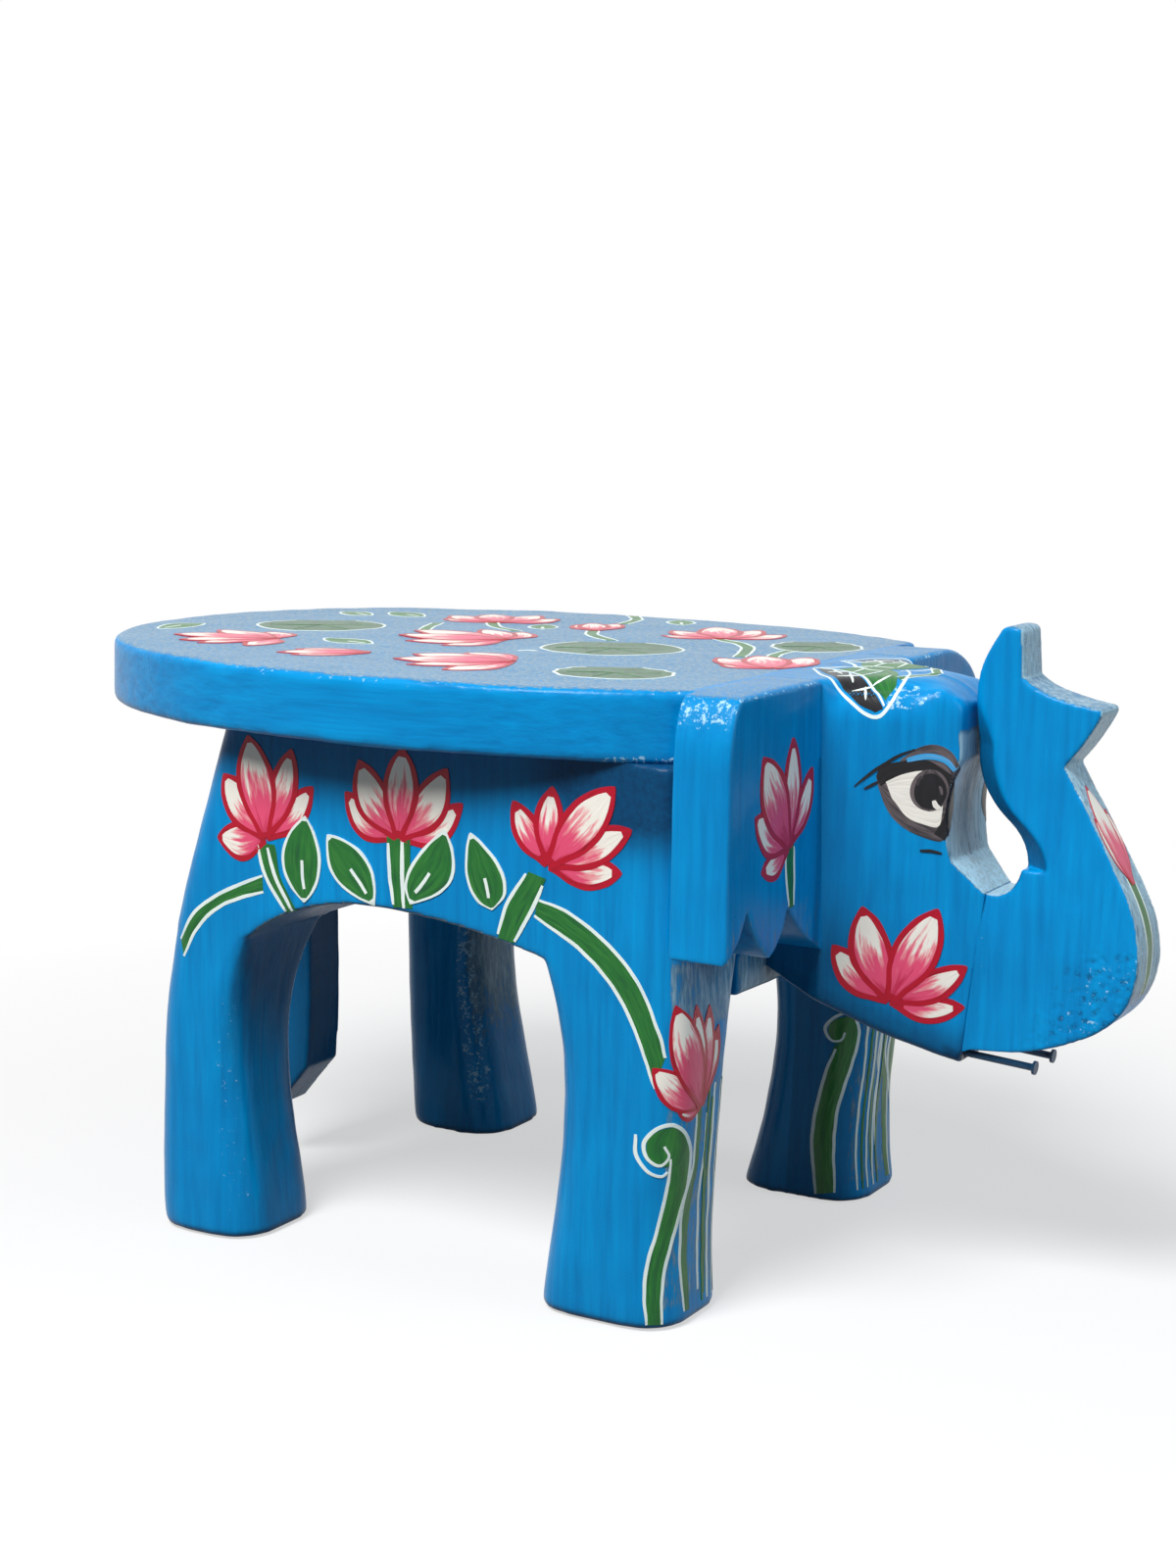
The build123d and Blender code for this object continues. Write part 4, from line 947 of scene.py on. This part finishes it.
def paint_seat(art):
    """Lotuses, buds and round lotus leaves strewn over the seat."""
    art.turn_to(SEAT_TOP)
    for centre, radius, flat, serrated in (((-98, 64), 21, 0.82, 0), ((-2, 3), 22, 0.92, 0),
                                           ((-2, -60), 17, 0.82, 0.05), ((62, 14), 14, 1, 0.05)):
        art.pad(centre, radius, flat, serrated)
    for points in ([(-42, 77), (-40, 64), (-33, 52)], [(-8, 56), (-8, 41), (-2, 26)],
                  [(32, 33), (38, 20), (40, 8), (36, -15)], [(46, -15), (48, -6), (53, 3)],
                  [(2, 77), (7, 94), (6, 110)], [(-63, 50), (-62, 62), (-60, 75)]):
        art.twig(points, 3.6)
    art.lotus((-108, 18), [(-114, -3, 0.5), (-112, 41, 0.5), (-130, 4, 0.42), (-129, 41, 0.42),
                           (-137, 13, 0.4), (-141, 28, 0.4)])
    art.lotus((-36, 24), [
        (-55, 8, 0.44), (-31, 48, 0.44), (-67, 19, 0.4), (-44, 52, 0.4), (-66, 48, 0.38), (-70, 34, 0.4)])
    art.lotus((-32, -38), [
        (-51, -58, 0.44), (-46, -14, 0.46), (-62, -46, 0.4), (-62, -19, 0.4), (-67, -31, 0.42)])
    art.lotus((-75, -17), [(-98, -24, 0.4), (-98, -10, 0.4), (-103, -17, 0.42)])
    art.lotus((-40, 77), [
        (-59, 90, 0.42), (-19, 91, 0.42), (-57, 103, 0.4), (-26, 102, 0.4), (-43, 108, 0.42)])
    art.lotus((-7, 57), [(-13, 76, 0.46), (0, 78, 0.46), (-8, 80, 0.46)])
    art.lotus((34, 34), [(14, 43, 0.42), (55, 49, 0.42), (18, 60, 0.4), (47, 60, 0.38), (33, 70, 0.4)])
    art.lotus((44, -46), [(29, -35, 0.5), (57, -18, 0.38), (29, -19, 0.42), (42, -12, 0.42)])
    for base, tip, half in (((-76, 8), (-93, 23), 6), ((-150, 48), (-136, 62), 6), ((-66, 98), (-79, 110), 6),
                            ((-84, 98), (-96, 111), 5), ((22, 76), (22, 95), 5), ((-25, 60), (-24, 76), 5)):
        axis = np.array(tip, float) - base
        side = np.array([-axis[1], axis[0]]) / np.linalg.norm(axis) * half
        middle = (np.array(base) + tip) / 2
        art.leaf(base, tip, middle + side, middle - side)
    art.layer = BOTTOM
    art.line([(-31, -7), (-28, -6), (-25, -8)], 1.4)


def paint_rump(art):
    """A lotus and two leaves on each side of the tail."""
    art.turn_to(RUMP)
    art.stem([(27, 126), (25, 112), (26, 98)], [(31.5, 126), (29.5, 112), (30.5, 98)])
    art.leaf((31, 100), (46, 118), (34.6, 113), (44.4, 106))
    art.leaf((25, 100), (13, 114), (16, 104), (24.4, 111))
    art.lotus((29, 124), [
        (46, 131, 0.42), (12.5, 131, 0.42), (41, 145, 0.4), (17.5, 145, 0.4), (29.5, 152, 0.42)])


def make_painting(name, motif, **settings):
    """Gathers a motif's films into one object."""
    art = Painting(name, **settings)
    motif(art)
    art.finish()


for side in ("right", "left"):
    for name, motif in (("flank_lotuses", paint_flank), ("leg_lotus", paint_leg_corner),
                        ("inner_leg_stems", paint_inner_leg), ("ear_lotus", paint_ear),
                        ("head_painting", paint_head), ("rump_lotus", paint_rump)):
        make_painting(side + "_" + name, motif, left=side == "left")
make_painting("trunk_bud", paint_trunk)
make_painting("seat_lotuses", paint_seat, cell=SEAT_CELL)

# ---- Light, floor and camera ---------------------------------------

AMBIENT = 0.11          # strength of the even light from all round
FLOOR_HALF, FLOOR_DROP = 3.0, 0.0002        # m
FLOOR_FADE = [(0.16, 0.58), (0.45, 1.0)]    # how white the floor looks at a distance in m
FLOOR_LIT, FLOOR_SEEN = (0.16, 0.16, 0.16), (0.80, 0.80, 0.80)      # its colour under the light and as seen
MIDDLE = Vector((0, 0, 0.1))                # of the stool, where the lamps point

world = bpy.data.worlds.new("studio")
bpy.context.scene.world = world
sky = Nodes(world)
ambient = sky.wire(sky.nodes["Background"], {"Color": (0.82, 0.93, 1.0), "Strength": AMBIENT})
white = sky.add("Background", {"Color": (1, 1, 1), "Strength": 1.0})
both = sky.add("MixShader", {"Fac": sky.seen_directly(), 1: ambient, 2: white})
sky.link(both, sky.nodes["World Output"].inputs["Surface"])


def area_light(name, place, size, power, colour=(1, 1, 1)):
    """A round lamp that points at the middle of the stool."""
    data = bpy.data.lights.new(name, "AREA")
    data.shape = "DISK"
    data.size = size
    data.energy = power
    data.color = colour
    lamp = new_object(name, data)
    lamp.location = place
    lamp.rotation_mode = "QUATERNION"
    lamp.rotation_quaternion = (MIDDLE - Vector(place)).to_track_quat("-Z", "Y")


area_light("key", (-0.03, -1.00, 1.36), 0.7, 35)
area_light("fill", (1.35, 0.15, 0.70), 0.9, 6.5, (0.76, 0.90, 1.0))


def floor_material():
    """A matt floor that looks white, most of all away from the stool, and keeps the stool's shadow."""
    tree = Nodes(bpy.data.materials.new("floor"))
    direct = tree.seen_directly()
    length = tree.nodes.new("ShaderNodeVectorMath")
    length.operation = "LENGTH"
    distance = tree.wire(length, {0: tree.add("TexCoord", output="Object")}, "Value")
    glow = tree.maths("MULTIPLY", direct, tree.ramp(distance, FLOOR_FADE))
    matt = tree.add("BsdfDiffuse", {"Color": tree.mix(direct, FLOOR_LIT, FLOOR_SEEN)})
    both = tree.add("MixShader", {"Fac": glow, 1: matt, 2: tree.add("Emission")})
    tree.link(both, tree.nodes["Material Output"].inputs["Surface"])
    tree.nodes.remove(tree.nodes["Principled BSDF"])
    return tree.owner


def make_floor():
    mesh = bpy.data.meshes.new("floor")
    corners = ((-1, -1), (1, -1), (1, 1), (-1, 1))
    mesh.from_pydata([(x * FLOOR_HALF, y * FLOOR_HALF, 0) for x, y in corners], [], [(0, 1, 2, 3)])
    floor = new_object("floor", mesh)
    floor.location.z = -FLOOR_DROP
    mesh.materials.append(floor_material())


make_floor()

# The camera stands off the right front, a little above the seat
CAMERA_PLACE = Vector((0.3791, -0.6790, 0.2652))
CAMERA_YAW, CAMERA_PITCH, CAMERA_ROLL = math.radians(29.84), math.radians(9.28), math.radians(0.69)
FOCAL_LENGTH, SENSOR_WIDTH = 58.5, 36       # mm

data = bpy.data.cameras.new("camera")
data.lens, data.sensor_width = FOCAL_LENGTH, SENSOR_WIDTH
camera = new_object("camera", data)
camera.rotation_mode = "QUATERNION"
back = Vector((math.sin(CAMERA_YAW) * math.cos(CAMERA_PITCH), -math.cos(CAMERA_YAW) * math.cos(CAMERA_PITCH),
               math.sin(CAMERA_PITCH)))
right = Vector((0, 0, 1)).cross(back).normalized()
over = back.cross(right)
right, over = (right * math.cos(CAMERA_ROLL) + over * math.sin(CAMERA_ROLL),
               over * math.cos(CAMERA_ROLL) - right * math.sin(CAMERA_ROLL))
camera.location = CAMERA_PLACE
camera.rotation_quaternion = Matrix((right, over, back)).transposed().to_quaternion()
bpy.context.scene.camera = camera

bpy.context.scene.view_settings.view_transform = "Standard"
